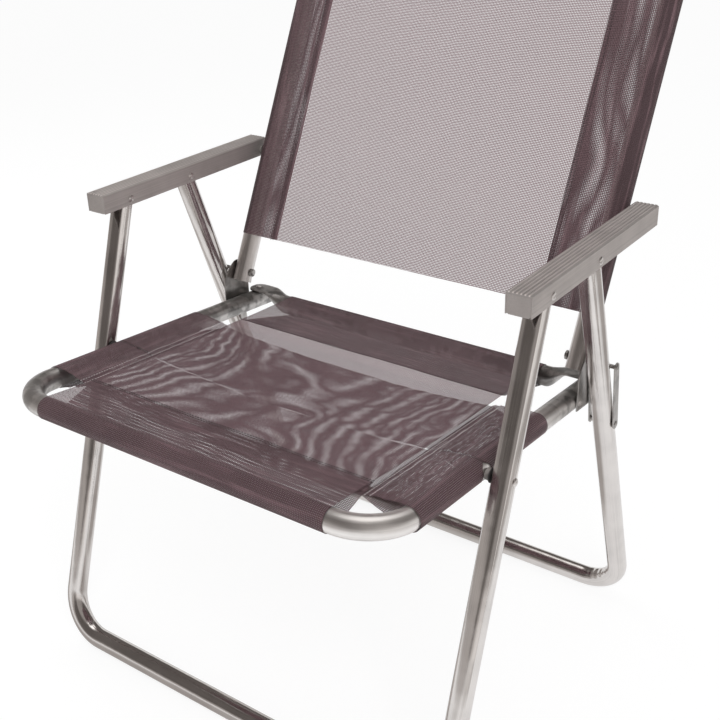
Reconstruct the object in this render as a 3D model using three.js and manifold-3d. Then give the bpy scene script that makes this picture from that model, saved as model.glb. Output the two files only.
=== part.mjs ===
// Folding lawn chair: bent aluminium tubes, ribbed channel armrests, mesh slings.
// Millimetres, +Z up, +Y to the rear, +X to the sitter's left as seen from the front.
import * as THREE from "three";
import Module from "manifold-3d";
import { mergeVertices } from "three/addons/utils/BufferGeometryUtils.js";

const wasm = await Module();
wasm.setup();

// Driving dimensions: tubes
const TUBE_DIAMETER = 25.4;
const TUBE_WALL = 1.2;
const TUBE_SIDES = 16;
const BEND_STEPS = 6;

// Driving dimensions: clearances
const SEAT_GAP = 0.3; // between pieces that bear on each other
const RUN_GAP = 0.5; // around pins that turn in a hole
const END_GAP = 0.4; // leg top to the underside of the armrest

// Driving dimensions: widths
const LEG_X = 288; // half the distance between the leg centre planes
const SIDE_GAP = 7; // between the legs and the tubes of seat and back

// Driving dimensions: heights and places along the chair
const ARM_TOP_Z = 575;
const FRONT_PIN_Y = -54;
const REAR_PIN_Y = 53.5;
const FRONT_BAR_Y = -237;
const REAR_BAR_Y = 236;
const HINGE_Z = 406.4;
const LINK_PIN_Z = 328;
const BACK_LEAN = THREE.MathUtils.degToRad(26.45);
const SEAT_FRONT_Y = -283.4;
const SEAT_FRONT_Z = 394;
const SEAT_TILT = THREE.MathUtils.degToRad(5.03);
const RAIL_BEHIND_HINGE = 32; // hinge bolt to rear rail, along the side bar
const BACK_LENGTH = 504; // hinge bolt to the centre line of the top bar

// Driving dimensions: bends, to the centre line
const FLOOR_BEND = 55;
const SEAT_BEND = 55;
const BACK_BEND = 70;

// Driving dimensions: tube ends
const END_ROUND_EXTRA = 0.3; // the rounded leg top is this much fuller than the tube
const UPRIGHT_TAIL = 14; // upright below the hinge bolt
const SIDE_BAR_TAIL = 17; // side bar behind the rear rail

// Driving dimensions: armrests
const ARM_WALL = 1.5;
const ARM_HEIGHT = 23.8;
const ARM_SIDE_GAP = 0.3; // leg top to the inside of the channel
const ARM_FRONT_REACH = 44; // front end before the front pin
const ARM_REAR_REACH = 9; // rear end behind the back pin
const ARM_CORNER = 1.5;
const RIB_COUNT = 6;
const RIB_HEIGHT = 0.8;
const RIB_SLOPE = 0.7; // width of each flank of a rib
const CAP_THICKNESS = 2;
const CAP_RECESS = 0.6; // the cap sits this far inside the end of the channel
const CAP_CHAMFER = 2;

// Driving dimensions: fasteners
const SHANK_RADIUS = 2.5;
const RIVET_HEAD_RADIUS = 4.5;
const RIVET_HEAD_HEIGHT = 2;
const BOLT_HEAD_RADIUS = 5.5;
const BOLT_HEAD_HEIGHT = 4.5;
const TAIL_RADIUS = 4;
const TAIL_HEIGHT = 1.5;
const ROUND_SIDES = 12;
const DOME_STEPS = 3;
const WASHER_THICKNESS = 1.2;
const WASHER_RADIUS = 8.5;
const SPACER_RADIUS = 6.5;

// Driving dimensions: hinge plates and links
const PLATE_THICKNESS = 1.8;
const PLATE_TOP_RADIUS = 14;
const PLATE_TOP_FROM = THREE.MathUtils.degToRad(12); // the round top starts at the rear
const PLATE_TOP_TO = THREE.MathUtils.degToRad(117); // and ends over the front
const PLATE_FRONT_REACH = 28; // before the hinge bolt
const PLATE_REAR_REACH = 21; // behind the hinge bolt
const PLATE_SHOULDER = 22; // where the front edge turns straight, below the bolt
const PLATE_BELOW_BAR = 9; // below the centre line of the side bar
const PLATE_RIVET_FRONT = 17; // before the hinge bolt, along the side bar
const PLATE_RIVET_REAR = 12; // behind it
const LINK_WIDTH = 12;
const LINK_THICKNESS = 1.8;
const LINK_GAP = 1; // inner link to hinge plate, outer link to rear leg

// Driving dimensions: rear rail ends
const TONGUE_THICKNESS = 3.2;
const TONGUE_WIDTH = 30;
const TONGUE_INSET = 2.7; // tip to the outer side of the side bar
const TONGUE_FLAT = 29; // length of the flat stretch
const TONGUE_TAPER = 32; // length of the change from round to flat
const TONGUE_POWER = 0.5; // fullness of the flat section, 1 is an ellipse
const TIP_TURN = Math.PI / 3; // how far round the tip is rounded in plan
const RAIL_SIDES = 16;
const TAPER_STEPS = 6;
const TIP_STEPS = 4;

// Driving dimensions: slings
const CLOTH = 1.2;
const SLEEVE_SIDES = 20;
const SAG_STEPS = 8;
const LONG_SLING_HALF = 198;
const LONG_SAG = 5;
const CROSS_SLING_FRONT = 63; // front edge behind the front bar
const CROSS_SLING_REAR = 129; // rear edge before the rear rail
const PIVOT_BREAK = 16; // between the two cross slings, at the seat pivots
const LAYER_GAP = 1; // between the two seat slings where they come closest
const BACK_SLING_LOW = 52; // lower edge above the hinge bolt
const BACK_SLING_MARGIN = 15; // upper edge below the top bends
const BACK_SAG = 12;

// Finishes
const ALUMINIUM = { color: 0x98918c, roughness: 0.3, metalness: 0.9 };
const STEEL = { color: 0x8a8783, roughness: 0.35, metalness: 0.9 };
const NYLON = { color: 0x6b6664, roughness: 0.6, metalness: 0 };
const MESH_CLOTH = { color: 0x6a5c5d, roughness: 0.8, metalness: 0 };

// Sizes that follow from the driving dimensions
const TUBE_RADIUS = TUBE_DIAMETER / 2;
const TUBE_FLAT = TUBE_RADIUS * Math.cos(Math.PI / TUBE_SIDES); // centre line to a facet
const INNER_X = LEG_X - TUBE_DIAMETER - SIDE_GAP; // centre plane of seat and back tubes
const ARM_WIDTH = TUBE_DIAMETER + 2 * (ARM_SIDE_GAP + ARM_WALL);
const END_ROUND = TUBE_RADIUS + END_ROUND_EXTRA;
const WEB_DROP = RIB_HEIGHT + ARM_WALL; // top of the ribs to the underside of the web
const PIN_Z = ARM_TOP_Z - WEB_DROP - END_GAP - END_ROUND;
const BAR_Z = TUBE_FLAT; // the floor bars stand on a facet
const TONGUE_REACH = TUBE_RADIUS - TONGUE_INSET; // past the centre line of the side bar
const BORE_FLAT = (TUBE_RADIUS - TUBE_WALL) * Math.cos(Math.PI / TUBE_SIDES);
const TAIL_SEAT = Math.sqrt(BORE_FLAT ** 2 - TAIL_RADIUS ** 2) - SEAT_GAP; // rivet tail in a tube
const HOLE_RADIUS = (SHANK_RADIUS + RUN_GAP) / Math.cos(Math.PI / ROUND_SIDES);
const SLEEVE_BORE = (TUBE_RADIUS + SEAT_GAP) / Math.cos(Math.PI / SLEEVE_SIDES);
const SLEEVE_RADIUS = SLEEVE_BORE + CLOTH;
const PLATE_X = INNER_X + TUBE_FLAT + SEAT_GAP;
const INNER_LINK_X = PLATE_X + PLATE_THICKNESS + LINK_GAP;
const OUTER_LINK_X = LEG_X + TUBE_RADIUS + LINK_GAP;
const ARM_INNER_X = LEG_X - ARM_WIDTH / 2;
const ACROSS = LEG_X + 2 * TUBE_DIAMETER; // past everything on one side, for cutters

// Points of the linkage, in the side view (x of the vector is Y, y is Z)
const frontPin = new THREE.Vector2(FRONT_PIN_Y, PIN_Z);
const rearPin = new THREE.Vector2(REAR_PIN_Y, PIN_Z);
const frontLegLean = Math.atan2(FRONT_PIN_Y - FRONT_BAR_Y, PIN_Z - BAR_Z);
const rearLegLean = Math.atan2(REAR_BAR_Y - REAR_PIN_Y, PIN_Z - BAR_Z);
const frontLegLength = Math.hypot(FRONT_PIN_Y - FRONT_BAR_Y, PIN_Z - BAR_Z);
const rearLegLength = Math.hypot(REAR_BAR_Y - REAR_PIN_Y, PIN_Z - BAR_Z);

// The rear leg leans on the hinge bolt from in front when the chair is open.
const boltBehindLeg = (TUBE_RADIUS + SHANK_RADIUS + RUN_GAP) / Math.cos(rearLegLean);
const rearLegY = (z) => REAR_PIN_Y + (PIN_Z - z) * Math.tan(rearLegLean);
const hinge = new THREE.Vector2(rearLegY(HINGE_Z) + boltBehindLeg, HINGE_Z);
const linkPin = new THREE.Vector2(rearLegY(LINK_PIN_Z), LINK_PIN_Z);
const backPinRise = (PIN_Z - HINGE_Z) / Math.cos(BACK_LEAN); // along the upright
const backPin = new THREE.Vector2(hinge.x + backPinRise * Math.sin(BACK_LEAN), PIN_Z);

// Where the front leg crosses the centre line of the side bar
const seatZ = (y) => SEAT_FRONT_Z - (y - SEAT_FRONT_Y) * Math.tan(SEAT_TILT);
const pivotDrop =
  (PIN_Z - seatZ(FRONT_PIN_Y)) /
  (Math.cos(frontLegLean) + Math.sin(frontLegLean) * Math.tan(SEAT_TILT));

// A mesh as a solid for joining and cutting: equal corners merged, empty triangles dropped.
function solidOf(geometry) {
  const bare = new THREE.BufferGeometry();
  const source = geometry.index ? geometry.toNonIndexed() : geometry;
  bare.setAttribute("position", source.getAttribute("position"));
  const merged = mergeVertices(bare, 1e-4);
  const corners = merged.index.array;
  const kept = [];
  for (let i = 0; i < corners.length; i += 3) {
    const [a, b, c] = [corners[i], corners[i + 1], corners[i + 2]];
    if (a !== b && b !== c && a !== c) {
      kept.push(a, b, c);
    }
  }
  const mesh = new wasm.Mesh({
    numProp: 3,
    vertProperties: merged.attributes.position.array,
    triVerts: new Uint32Array(kept),
  });
  return new wasm.Manifold(mesh);
}

function geometryOf(solid) {
  const mesh = solid.getMesh();
  const geometry = new THREE.BufferGeometry();
  geometry.setAttribute("position", new THREE.BufferAttribute(mesh.vertProperties, 3));
  geometry.setIndex(new THREE.BufferAttribute(mesh.triVerts, 1));
  geometry.computeVertexNormals();
  return geometry;
}

function addPiece(parent, name, solid, finish) {
  const mesh = new THREE.Mesh(geometryOf(solid), new THREE.MeshStandardMaterial(finish));
  mesh.name = name;
  parent.add(mesh);
}

const cutAll = (solid, cutters) => cutters.reduce((left, cutter) => left.subtract(cutter), solid);

// Sides of the chair: +1 and -1 along X
const SIDES = [
  ["left", 1],
  ["right", -1],
];

// A polygon whose facet, and not its corner, faces the angle given.
function polygon(radius, sides, facing) {
  const points = [];
  for (let i = 0; i < sides; i += 1) {
    const angle = facing + ((i + 0.5) * 2 * Math.PI) / sides;
    points.push(new THREE.Vector2(radius * Math.cos(angle), radius * Math.sin(angle)));
  }
  return points;
}

function tubeSection(facing) {
  const section = new THREE.Shape(polygon(TUBE_RADIUS, TUBE_SIDES, facing));
  section.holes.push(new THREE.Path(polygon(TUBE_RADIUS - TUBE_WALL, TUBE_SIDES, facing)));
  return section;
}

// Centre line of a bent tube: straight stretches between corners, each corner an arc.
// It has a station only where the tube starts, ends or bends.
class BentLine extends THREE.Curve {
  constructor(corners, bendRadius) {
    super();
    this.stations = [];
    const last = corners.length - 1;
    const along = corners.slice(1).map((corner, i) => corner.clone().sub(corners[i]).normalize());
    this.stations.push({ point: corners[0], tangent: along[0] });
    for (let i = 1; i < last; i += 1) {
      const [into, out] = [along[i - 1], along[i]];
      const turn = into.angleTo(out);
      const axis = into.clone().cross(out).normalize();
      const setback = bendRadius * Math.tan(turn / 2);
      const start = corners[i].clone().addScaledVector(into, -setback);
      const toCentre = axis.clone().cross(into);
      const centre = start.clone().addScaledVector(toCentre, bendRadius);
      for (let k = 0; k <= BEND_STEPS; k += 1) {
        const angle = (turn * k) / BEND_STEPS;
        const spoke = toCentre.clone().multiplyScalar(-bendRadius).applyAxisAngle(axis, angle);
        const tangent = into.clone().applyAxisAngle(axis, angle);
        this.stations.push({ point: centre.clone().add(spoke), tangent });
      }
    }
    this.stations.push({ point: corners[last], tangent: along[last - 1] });
  }

  get steps() {
    return this.stations.length - 1;
  }

  getPointAt(share, target = new THREE.Vector3()) {
    return target.copy(this.stations[Math.round(share * this.steps)].point);
  }

  getTangentAt(share, target = new THREE.Vector3()) {
    return target.copy(this.stations[Math.round(share * this.steps)].tangent);
  }
}

function bentTube(corners, bendRadius, facing) {
  const line = new BentLine(corners, bendRadius);
  const options = { steps: line.steps, extrudePath: line, bevelEnabled: false };
  return solidOf(new THREE.ExtrudeGeometry(tubeSection(facing), options));
}

// A turned piece on the X axis from a profile of (radius, distance along X) points
function turned(profile, sides = ROUND_SIDES) {
  const points = profile.map(([radius, along]) => new THREE.Vector2(radius, along));
  return new THREE.LatheGeometry(points, sides).rotateZ(-Math.PI / 2);
}

// A rivet or bolt on the X axis: the shank runs from 0 to length, the tail lies before 0,
// the head past length. A head of no radius leaves that end of the shank flat.
function fastener(length, head, tail) {
  const profile = [];
  const dome = (end, at, way) => {
    const arc = [];
    for (let i = 0; i <= DOME_STEPS; i += 1) {
      const angle = ((i / DOME_STEPS) * Math.PI) / 2;
      const radius = i === 0 ? 0 : end.radius * Math.sin(angle);
      arc.push([radius, at + way * end.height * Math.cos(angle)]);
    }
    return way < 0 ? arc : arc.reverse();
  };
  profile.push(...(tail ? dome(tail, 0, -1) : [[0, 0]]));
  profile.push([SHANK_RADIUS, 0], [SHANK_RADIUS, length]);
  profile.push(...(head ? dome(head, length, 1) : [[0, length]]));
  return turned(profile);
}

const RIVET_HEAD = { radius: RIVET_HEAD_RADIUS, height: RIVET_HEAD_HEIGHT };
const BOLT_HEAD = { radius: BOLT_HEAD_RADIUS, height: BOLT_HEAD_HEIGHT };
const TAIL = { radius: TAIL_RADIUS, height: TAIL_HEIGHT };

// A flat ring on the X axis between two distances from the middle of the chair
function ring(inner, outer, from, to) {
  const profile = [
    [inner, from],
    [outer, from],
    [outer, to],
    [inner, to],
    [inner, from],
  ];
  return turned(profile);
}

// A geometry made for the left side, turned round for the right one, then set at (y, z)
function onSide(geometry, side, y, z) {
  const placed = side > 0 ? geometry : geometry.rotateZ(Math.PI);
  return solidOf(placed.translate(0, y, z));
}

// A round bar along X for cutting holes
function crossBar(radius, from, to, y, z, sides = ROUND_SIDES) {
  const bar = new THREE.CylinderGeometry(radius, radius, to - from, sides);
  bar.rotateZ(-Math.PI / 2).translate((from + to) / 2, y, z);
  return solidOf(bar);
}

// A flat plate from an outline in the side view, its thickness along X
const TO_SIDE_VIEW = new THREE.Matrix4().makeBasis(
  new THREE.Vector3(0, 1, 0),
  new THREE.Vector3(0, 0, 1),
  new THREE.Vector3(1, 0, 0),
);

function sidePlate(outline, from, thickness, side, curveSegments = 5) {
  const options = { depth: thickness, bevelEnabled: false, curveSegments };
  const plate = new THREE.ExtrudeGeometry(outline, options).applyMatrix4(TO_SIDE_VIEW);
  return solidOf(plate.translate(side > 0 ? from : -from - thickness, 0, 0));
}

// Leg frames: a bent tube in its own plane, hung on its pins, with rounded tops
function legFrame(length, facing) {
  const corners = [
    new THREE.Vector3(-LEG_X, 0, END_ROUND),
    new THREE.Vector3(-LEG_X, 0, -length),
    new THREE.Vector3(LEG_X, 0, -length),
    new THREE.Vector3(LEG_X, 0, END_ROUND),
  ];
  const tube = bentTube(corners, FLOOR_BEND, facing);
  const block = new THREE.BoxGeometry(2 * ACROSS, 2 * TUBE_DIAMETER, TUBE_DIAMETER);
  const above = solidOf(block.translate(0, 0, TUBE_RADIUS));
  const kept = crossBar(END_ROUND, -2 * ACROSS, 2 * ACROSS, 0, 0, 2 * TUBE_SIDES);
  const pinHole = crossBar(HOLE_RADIUS, -ACROSS, ACROSS, 0, 0);
  return cutAll(tube, [above.subtract(kept), pinHole]);
}

function makeFrontLegs() {
  const group = new THREE.Group();
  group.position.set(0, frontPin.x, frontPin.y);
  group.rotation.x = -frontLegLean;
  const pivotHole = crossBar(HOLE_RADIUS, -ACROSS, ACROSS, 0, -pivotDrop);
  const frame = legFrame(frontLegLength, Math.PI / 2 + frontLegLean).subtract(pivotHole);
  addPiece(group, "front_leg_frame", frame, ALUMINIUM);

  const washerFrom = LEG_X - TUBE_RADIUS - SEAT_GAP - WASHER_THICKNESS;
  const rivetTo = LEG_X + TUBE_RADIUS + SEAT_GAP;
  for (const [name, side] of SIDES) {
    const rivet = fastener(rivetTo - washerFrom, RIVET_HEAD, null).translate(washerFrom, 0, 0);
    const washer = ring(HOLE_RADIUS, WASHER_RADIUS, washerFrom, washerFrom + WASHER_THICKNESS);
    addPiece(group, "seat_pivot_rivet_" + name, onSide(rivet, side, 0, -pivotDrop), ALUMINIUM);
    addPiece(group, "seat_pivot_washer_" + name, onSide(washer, side, 0, -pivotDrop), STEEL);
  }
  return group;
}

function makeRearLegs() {
  const group = new THREE.Group();
  group.position.set(0, rearPin.x, rearPin.y);
  group.rotation.x = rearLegLean;
  const frame = legFrame(rearLegLength, Math.PI / 2 - rearLegLean);
  addPiece(group, "rear_leg_frame", frame, ALUMINIUM);
  return group;
}

// Armrests: a channel open below, its top a row of lengthwise ribs
function armrestSection() {
  const half = ARM_WIDTH / 2;
  const inside = half - ARM_WALL;
  const ribsHalf = half - ARM_CORNER;
  const pitch = (2 * ribsHalf) / RIB_COUNT;
  const section = new THREE.Shape();
  section.moveTo(half, -ARM_HEIGHT);
  section.lineTo(half, -RIB_HEIGHT - ARM_CORNER);
  section.lineTo(ribsHalf, -RIB_HEIGHT);
  for (let i = 0; i < RIB_COUNT; i += 1) {
    const start = ribsHalf - i * pitch;
    section.lineTo(start - RIB_SLOPE, 0);
    section.lineTo(start - pitch + RIB_SLOPE, 0);
    section.lineTo(start - pitch, -RIB_HEIGHT);
  }
  section.lineTo(-half, -RIB_HEIGHT - ARM_CORNER);
  section.lineTo(-half, -ARM_HEIGHT);
  section.lineTo(-inside, -ARM_HEIGHT);
  section.lineTo(-inside, -WEB_DROP);
  section.lineTo(inside, -WEB_DROP);
  section.lineTo(inside, -ARM_HEIGHT);
  section.closePath();
  return section;
}

function capSection() {
  const half = ARM_WIDTH / 2 - ARM_WALL - SEAT_GAP;
  const section = new THREE.Shape();
  section.moveTo(half, -WEB_DROP - SEAT_GAP);
  section.lineTo(-half, -WEB_DROP - SEAT_GAP);
  section.lineTo(-half, -ARM_HEIGHT + CAP_CHAMFER);
  section.lineTo(-half + CAP_CHAMFER, -ARM_HEIGHT);
  section.lineTo(half - CAP_CHAMFER, -ARM_HEIGHT);
  section.lineTo(half, -ARM_HEIGHT + CAP_CHAMFER);
  section.closePath();
  return section;
}

// A section in the front view, drawn from one place along Y to another
function alongY(section, from, to) {
  const options = { depth: to - from, bevelEnabled: false };
  const drawn = new THREE.ExtrudeGeometry(section, options).rotateX(Math.PI / 2);
  return drawn.translate(0, to, 0);
}

function makeArmrests() {
  const group = new THREE.Group();
  const front = FRONT_PIN_Y - ARM_FRONT_REACH;
  const rear = backPin.x + ARM_REAR_REACH;
  const pinZ = PIN_Z - ARM_TOP_Z;
  group.position.z = ARM_TOP_Z;
  const rivetFrom = ARM_INNER_X - SEAT_GAP;
  const rivetLength = ARM_WIDTH + 2 * SEAT_GAP;
  const outside = LEG_X + ARM_WIDTH;
  for (const [name, side] of SIDES) {
    const channel = alongY(armrestSection(), front, rear).translate(side * LEG_X, 0, 0);
    const ends = [side * (LEG_X - ARM_WIDTH), side * outside].sort((a, b) => a - b);
    const halfway = [side * (LEG_X - ARM_WIDTH), side * LEG_X].sort((a, b) => a - b);
    const holes = [
      crossBar(HOLE_RADIUS, ...ends, frontPin.x, pinZ),
      crossBar(HOLE_RADIUS, ...ends, rearPin.x, pinZ),
      crossBar(HOLE_RADIUS, ...halfway, backPin.x, pinZ),
    ];
    addPiece(group, "armrest_" + name, cutAll(solidOf(channel), holes), ALUMINIUM);

    const capFront = front + CAP_RECESS;
    const capRear = rear - CAP_RECESS;
    const frontCap = alongY(capSection(), capFront, capFront + CAP_THICKNESS);
    const rearCap = alongY(capSection(), capRear - CAP_THICKNESS, capRear);
    frontCap.translate(side * LEG_X, 0, 0);
    rearCap.translate(side * LEG_X, 0, 0);
    addPiece(group, "armrest_front_cap_" + name, solidOf(frontCap), ALUMINIUM);
    addPiece(group, "armrest_rear_cap_" + name, solidOf(rearCap), ALUMINIUM);

    const pinned = [
      ["front_leg_rivet_", frontPin],
      ["rear_leg_rivet_", rearPin],
    ];
    for (const [rivetName, pin] of pinned) {
      const rivet = fastener(rivetLength, RIVET_HEAD, RIVET_HEAD).translate(rivetFrom, 0, 0);
      addPiece(group, rivetName + name, onSide(rivet, side, pin.x, pinZ), ALUMINIUM);
    }
  }
  return group;
}

// Seat: in its own tilted frame, from the centre line of the front bar
const seatFrame = new THREE.Group();
seatFrame.position.set(0, SEAT_FRONT_Y, SEAT_FRONT_Z);
seatFrame.rotation.x = -SEAT_TILT;
seatFrame.updateMatrixWorld(true);

// Distances along the side bar: hinge bolt, rear rail, pivot of the front leg, plate rivets
const alongBar = (y, z) => seatFrame.worldToLocal(new THREE.Vector3(0, y, z)).y;
const hingeAlong = alongBar(hinge.x, hinge.y);
const railAlong = hingeAlong + RAIL_BEHIND_HINGE;
const pivotAlong = alongBar(
  FRONT_PIN_Y - pivotDrop * Math.sin(frontLegLean),
  PIN_Z - pivotDrop * Math.cos(frontLegLean),
);
const plateRivets = [
  ["front", hingeAlong - PLATE_RIVET_FRONT],
  ["rear", hingeAlong + PLATE_RIVET_REAR],
];

// Skin of the rear rail: round in the middle, each end pressed flat on top of a side bar.
// Set in by the wall it is the bore, which runs past both ends and leaves them open as slits.
function railSkin(inset) {
  const tip = INNER_X + TONGUE_REACH;
  const flatFrom = tip - TONGUE_FLAT;
  const flatZ = TUBE_FLAT + SEAT_GAP + TONGUE_THICKNESS / 2;
  const stations = [];
  for (let i = 0; i <= TAPER_STEPS; i += 1) {
    const share = i / TAPER_STEPS;
    const x = flatFrom - (1 - share) * TONGUE_TAPER;
    stations.push({ x, flat: THREE.MathUtils.smoothstep(share, 0, 1), width: 1 });
  }
  for (let i = 0; i <= TIP_STEPS; i += 1) {
    const turn = (i / TIP_STEPS) * TIP_TURN;
    const x = tip - TONGUE_REACH * (1 - Math.sin(turn) / Math.sin(TIP_TURN));
    stations.push({ x, flat: 1, width: Math.cos(turn) });
  }
  stations.push({ x: tip + inset, flat: 1, width: Math.cos(TIP_TURN) });
  const mirrored = stations.map((station) => ({ ...station, x: -station.x })).reverse();
  const rings = [...mirrored, ...stations].map(({ x, flat, width }) => {
    const halfY = THREE.MathUtils.lerp(TUBE_RADIUS, TONGUE_WIDTH / 2, flat) * width - inset;
    const halfZ = THREE.MathUtils.lerp(TUBE_RADIUS, TONGUE_THICKNESS / 2, flat) - inset;
    const power = THREE.MathUtils.lerp(1, TONGUE_POWER, flat);
    const bulge = (value) => Math.sign(value) * Math.abs(value) ** power;
    return polygon(1, RAIL_SIDES, 0).map((unit) => {
      const y = railAlong + halfY * bulge(unit.x);
      return new THREE.Vector3(x, y, flat * flatZ + halfZ * bulge(unit.y));
    });
  });
  return solidOf(skin(rings));
}

const rearRail = () => railSkin(0).subtract(railSkin(TUBE_WALL));

// A closed skin over rings of equally many points, with a fan over each end
function skin(rings) {
  const positions = [];
  const count = rings[0].length;
  const triangle = (...points) => points.forEach((point) => positions.push(...point.toArray()));
  for (let i = 0; i + 1 < rings.length; i += 1) {
    for (let k = 0; k < count; k += 1) {
      const next = (k + 1) % count;
      triangle(rings[i][k], rings[i][next], rings[i + 1][next]);
      triangle(rings[i][k], rings[i + 1][next], rings[i + 1][k]);
    }
  }
  const [first, last] = [rings[0], rings[rings.length - 1]];
  for (let k = 1; k + 1 < count; k += 1) {
    triangle(first[0], first[k + 1], first[k]);
    triangle(last[0], last[k], last[k + 1]);
  }
  const geometry = new THREE.BufferGeometry();
  geometry.setAttribute("position", new THREE.Float32BufferAttribute(positions, 3));
  return geometry;
}

// A sling in cross section: a sleeve round each of two tubes and a sagging sheet between them.
// The tubes lie at -half and +half, the sheet leaves their tops.
function slingSection(half, sag) {
  const section = new THREE.Shape();
  section.moveTo(-half, SLEEVE_RADIUS);
  section.quadraticCurveTo(0, SLEEVE_RADIUS - 2 * sag, half, SLEEVE_RADIUS);
  section.lineTo(half, SLEEVE_RADIUS - CLOTH);
  section.quadraticCurveTo(0, SLEEVE_RADIUS - CLOTH - 2 * sag, -half, SLEEVE_RADIUS - CLOTH);
  section.closePath();
  return section;
}

// The sling as a solid, its section in the XY plane, drawn along +Z by its length
function sling(half, sag, length) {
  const drawn = (shape) => {
    const options = { depth: length, bevelEnabled: false, curveSegments: SAG_STEPS };
    return new THREE.ExtrudeGeometry(shape, options);
  };
  let cloth = solidOf(drawn(slingSection(half, sag)));
  const bores = [];
  for (const centre of [-half, half]) {
    const outer = drawn(new THREE.Shape(polygon(SLEEVE_RADIUS, SLEEVE_SIDES, 0)));
    const bore = new THREE.CylinderGeometry(SLEEVE_BORE, SLEEVE_BORE, 2 * length, SLEEVE_SIDES);
    cloth = cloth.add(solidOf(outer.translate(centre, 0, 0)));
    bores.push(solidOf(bore.rotateX(Math.PI / 2).translate(centre, 0, length / 2)));
  }
  return cutAll(cloth, bores);
}

// A solid carried from one frame to another
function moved(solid, matrix) {
  return solidOf(geometryOf(solid).applyMatrix4(matrix));
}

function longSling() {
  const width = 2 * LONG_SLING_HALF;
  const toSeat = TO_SIDE_VIEW.clone().setPosition(-LONG_SLING_HALF, railAlong / 2, 0);
  return moved(sling(railAlong / 2, LONG_SAG, width), toSeat);
}

function crossSling(from, to) {
  // The cross slings pass under the edge of the long one with the layer gap to spare.
  const share = (INNER_X - LONG_SLING_HALF) / (2 * INNER_X);
  const sag = (LONG_SAG + CLOTH + LAYER_GAP) / (4 * share * (1 - share));
  const toSeat = new THREE.Matrix4().makeRotationX(Math.PI / 2).setPosition(0, to, 0);
  return moved(sling(INNER_X, sag, to - from), toSeat);
}

function makeSeat() {
  const barEnd = railAlong + SIDE_BAR_TAIL;
  const corners = [
    new THREE.Vector3(-INNER_X, barEnd, 0),
    new THREE.Vector3(-INNER_X, 0, 0),
    new THREE.Vector3(INNER_X, 0, 0),
    new THREE.Vector3(INNER_X, barEnd, 0),
  ];
  const railHole = new THREE.CylinderGeometry(HOLE_RADIUS, HOLE_RADIUS, TUBE_DIAMETER, ROUND_SIDES);
  railHole.rotateX(Math.PI / 2).translate(0, railAlong, TUBE_RADIUS);
  const railHoles = SIDES.map(([, side]) => solidOf(railHole.clone().translate(side * INNER_X, 0, 0)));
  const wallHoles = [];
  for (const [, along] of plateRivets) {
    for (const [, side] of SIDES) {
      const ends = [side * INNER_X, side * LEG_X].sort((a, b) => a - b);
      wallHoles.push(crossBar(HOLE_RADIUS, ...ends, along, 0));
    }
  }
  const frame = cutAll(bentTube(corners, SEAT_BEND, 0), [...railHoles, ...wallHoles]);
  addPiece(seatFrame, "seat_frame", frame, ALUMINIUM);
  addPiece(seatFrame, "seat_rear_rail", cutAll(rearRail(), railHoles), ALUMINIUM);
  addPiece(seatFrame, "seat_sling_long", longSling(), MESH_CLOTH);
  const frontCross = crossSling(CROSS_SLING_FRONT, pivotAlong - PIVOT_BREAK / 2);
  const rearCross = crossSling(pivotAlong + PIVOT_BREAK / 2, railAlong - CROSS_SLING_REAR);
  addPiece(seatFrame, "seat_sling_cross_front", frontCross, MESH_CLOTH);
  addPiece(seatFrame, "seat_sling_cross_rear", rearCross, MESH_CLOTH);

  const railTop = TUBE_FLAT + 2 * SEAT_GAP + TONGUE_THICKNESS;
  const spacerFrom = INNER_X + TUBE_FLAT + SEAT_GAP;
  const spacerTo = LEG_X - TUBE_RADIUS - WASHER_THICKNESS - 2 * SEAT_GAP;
  for (const [name, side] of SIDES) {
    const corner = fastener(railTop - TAIL_SEAT, RIVET_HEAD, TAIL).translate(TAIL_SEAT, 0, 0);
    corner.rotateY(-Math.PI / 2).translate(side * INNER_X, railAlong, 0);
    addPiece(seatFrame, "corner_rivet_" + name, solidOf(corner), ALUMINIUM);
    const spacer = ring(HOLE_RADIUS, SPACER_RADIUS, spacerFrom, spacerTo);
    addPiece(seatFrame, "seat_pivot_spacer_" + name, onSide(spacer, side, pivotAlong, 0), NYLON);
    for (const [place, along] of plateRivets) {
      const from = INNER_X + TAIL_SEAT;
      const flush = PLATE_X + PLATE_THICKNESS - from;
      const rivet = fastener(flush, null, TAIL).translate(from, 0, 0);
      addPiece(seatFrame, "plate_rivet_" + place + "_" + name, onSide(rivet, side, along, 0), ALUMINIUM);
    }
  }
  return seatFrame;
}

// Hinge plate: round over the bolt, a bulging front edge, a straight foot along the side bar
function hingePlateOutline() {
  const barDrop = HINGE_Z - seatZ(hinge.x);
  const foot = (y) => -barDrop - y * Math.tan(SEAT_TILT) - PLATE_BELOW_BAR;
  const outline = new THREE.Shape();
  outline.moveTo(-PLATE_FRONT_REACH, foot(-PLATE_FRONT_REACH));
  outline.lineTo(PLATE_REAR_REACH, foot(PLATE_REAR_REACH));
  outline.lineTo(PLATE_REAR_REACH, -PLATE_SHOULDER);
  outline.absarc(0, 0, PLATE_TOP_RADIUS, PLATE_TOP_FROM, PLATE_TOP_TO, false);
  outline.quadraticCurveTo(-PLATE_FRONT_REACH, 0, -PLATE_FRONT_REACH, -PLATE_SHOULDER);
  outline.closePath();
  return outline;
}

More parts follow.
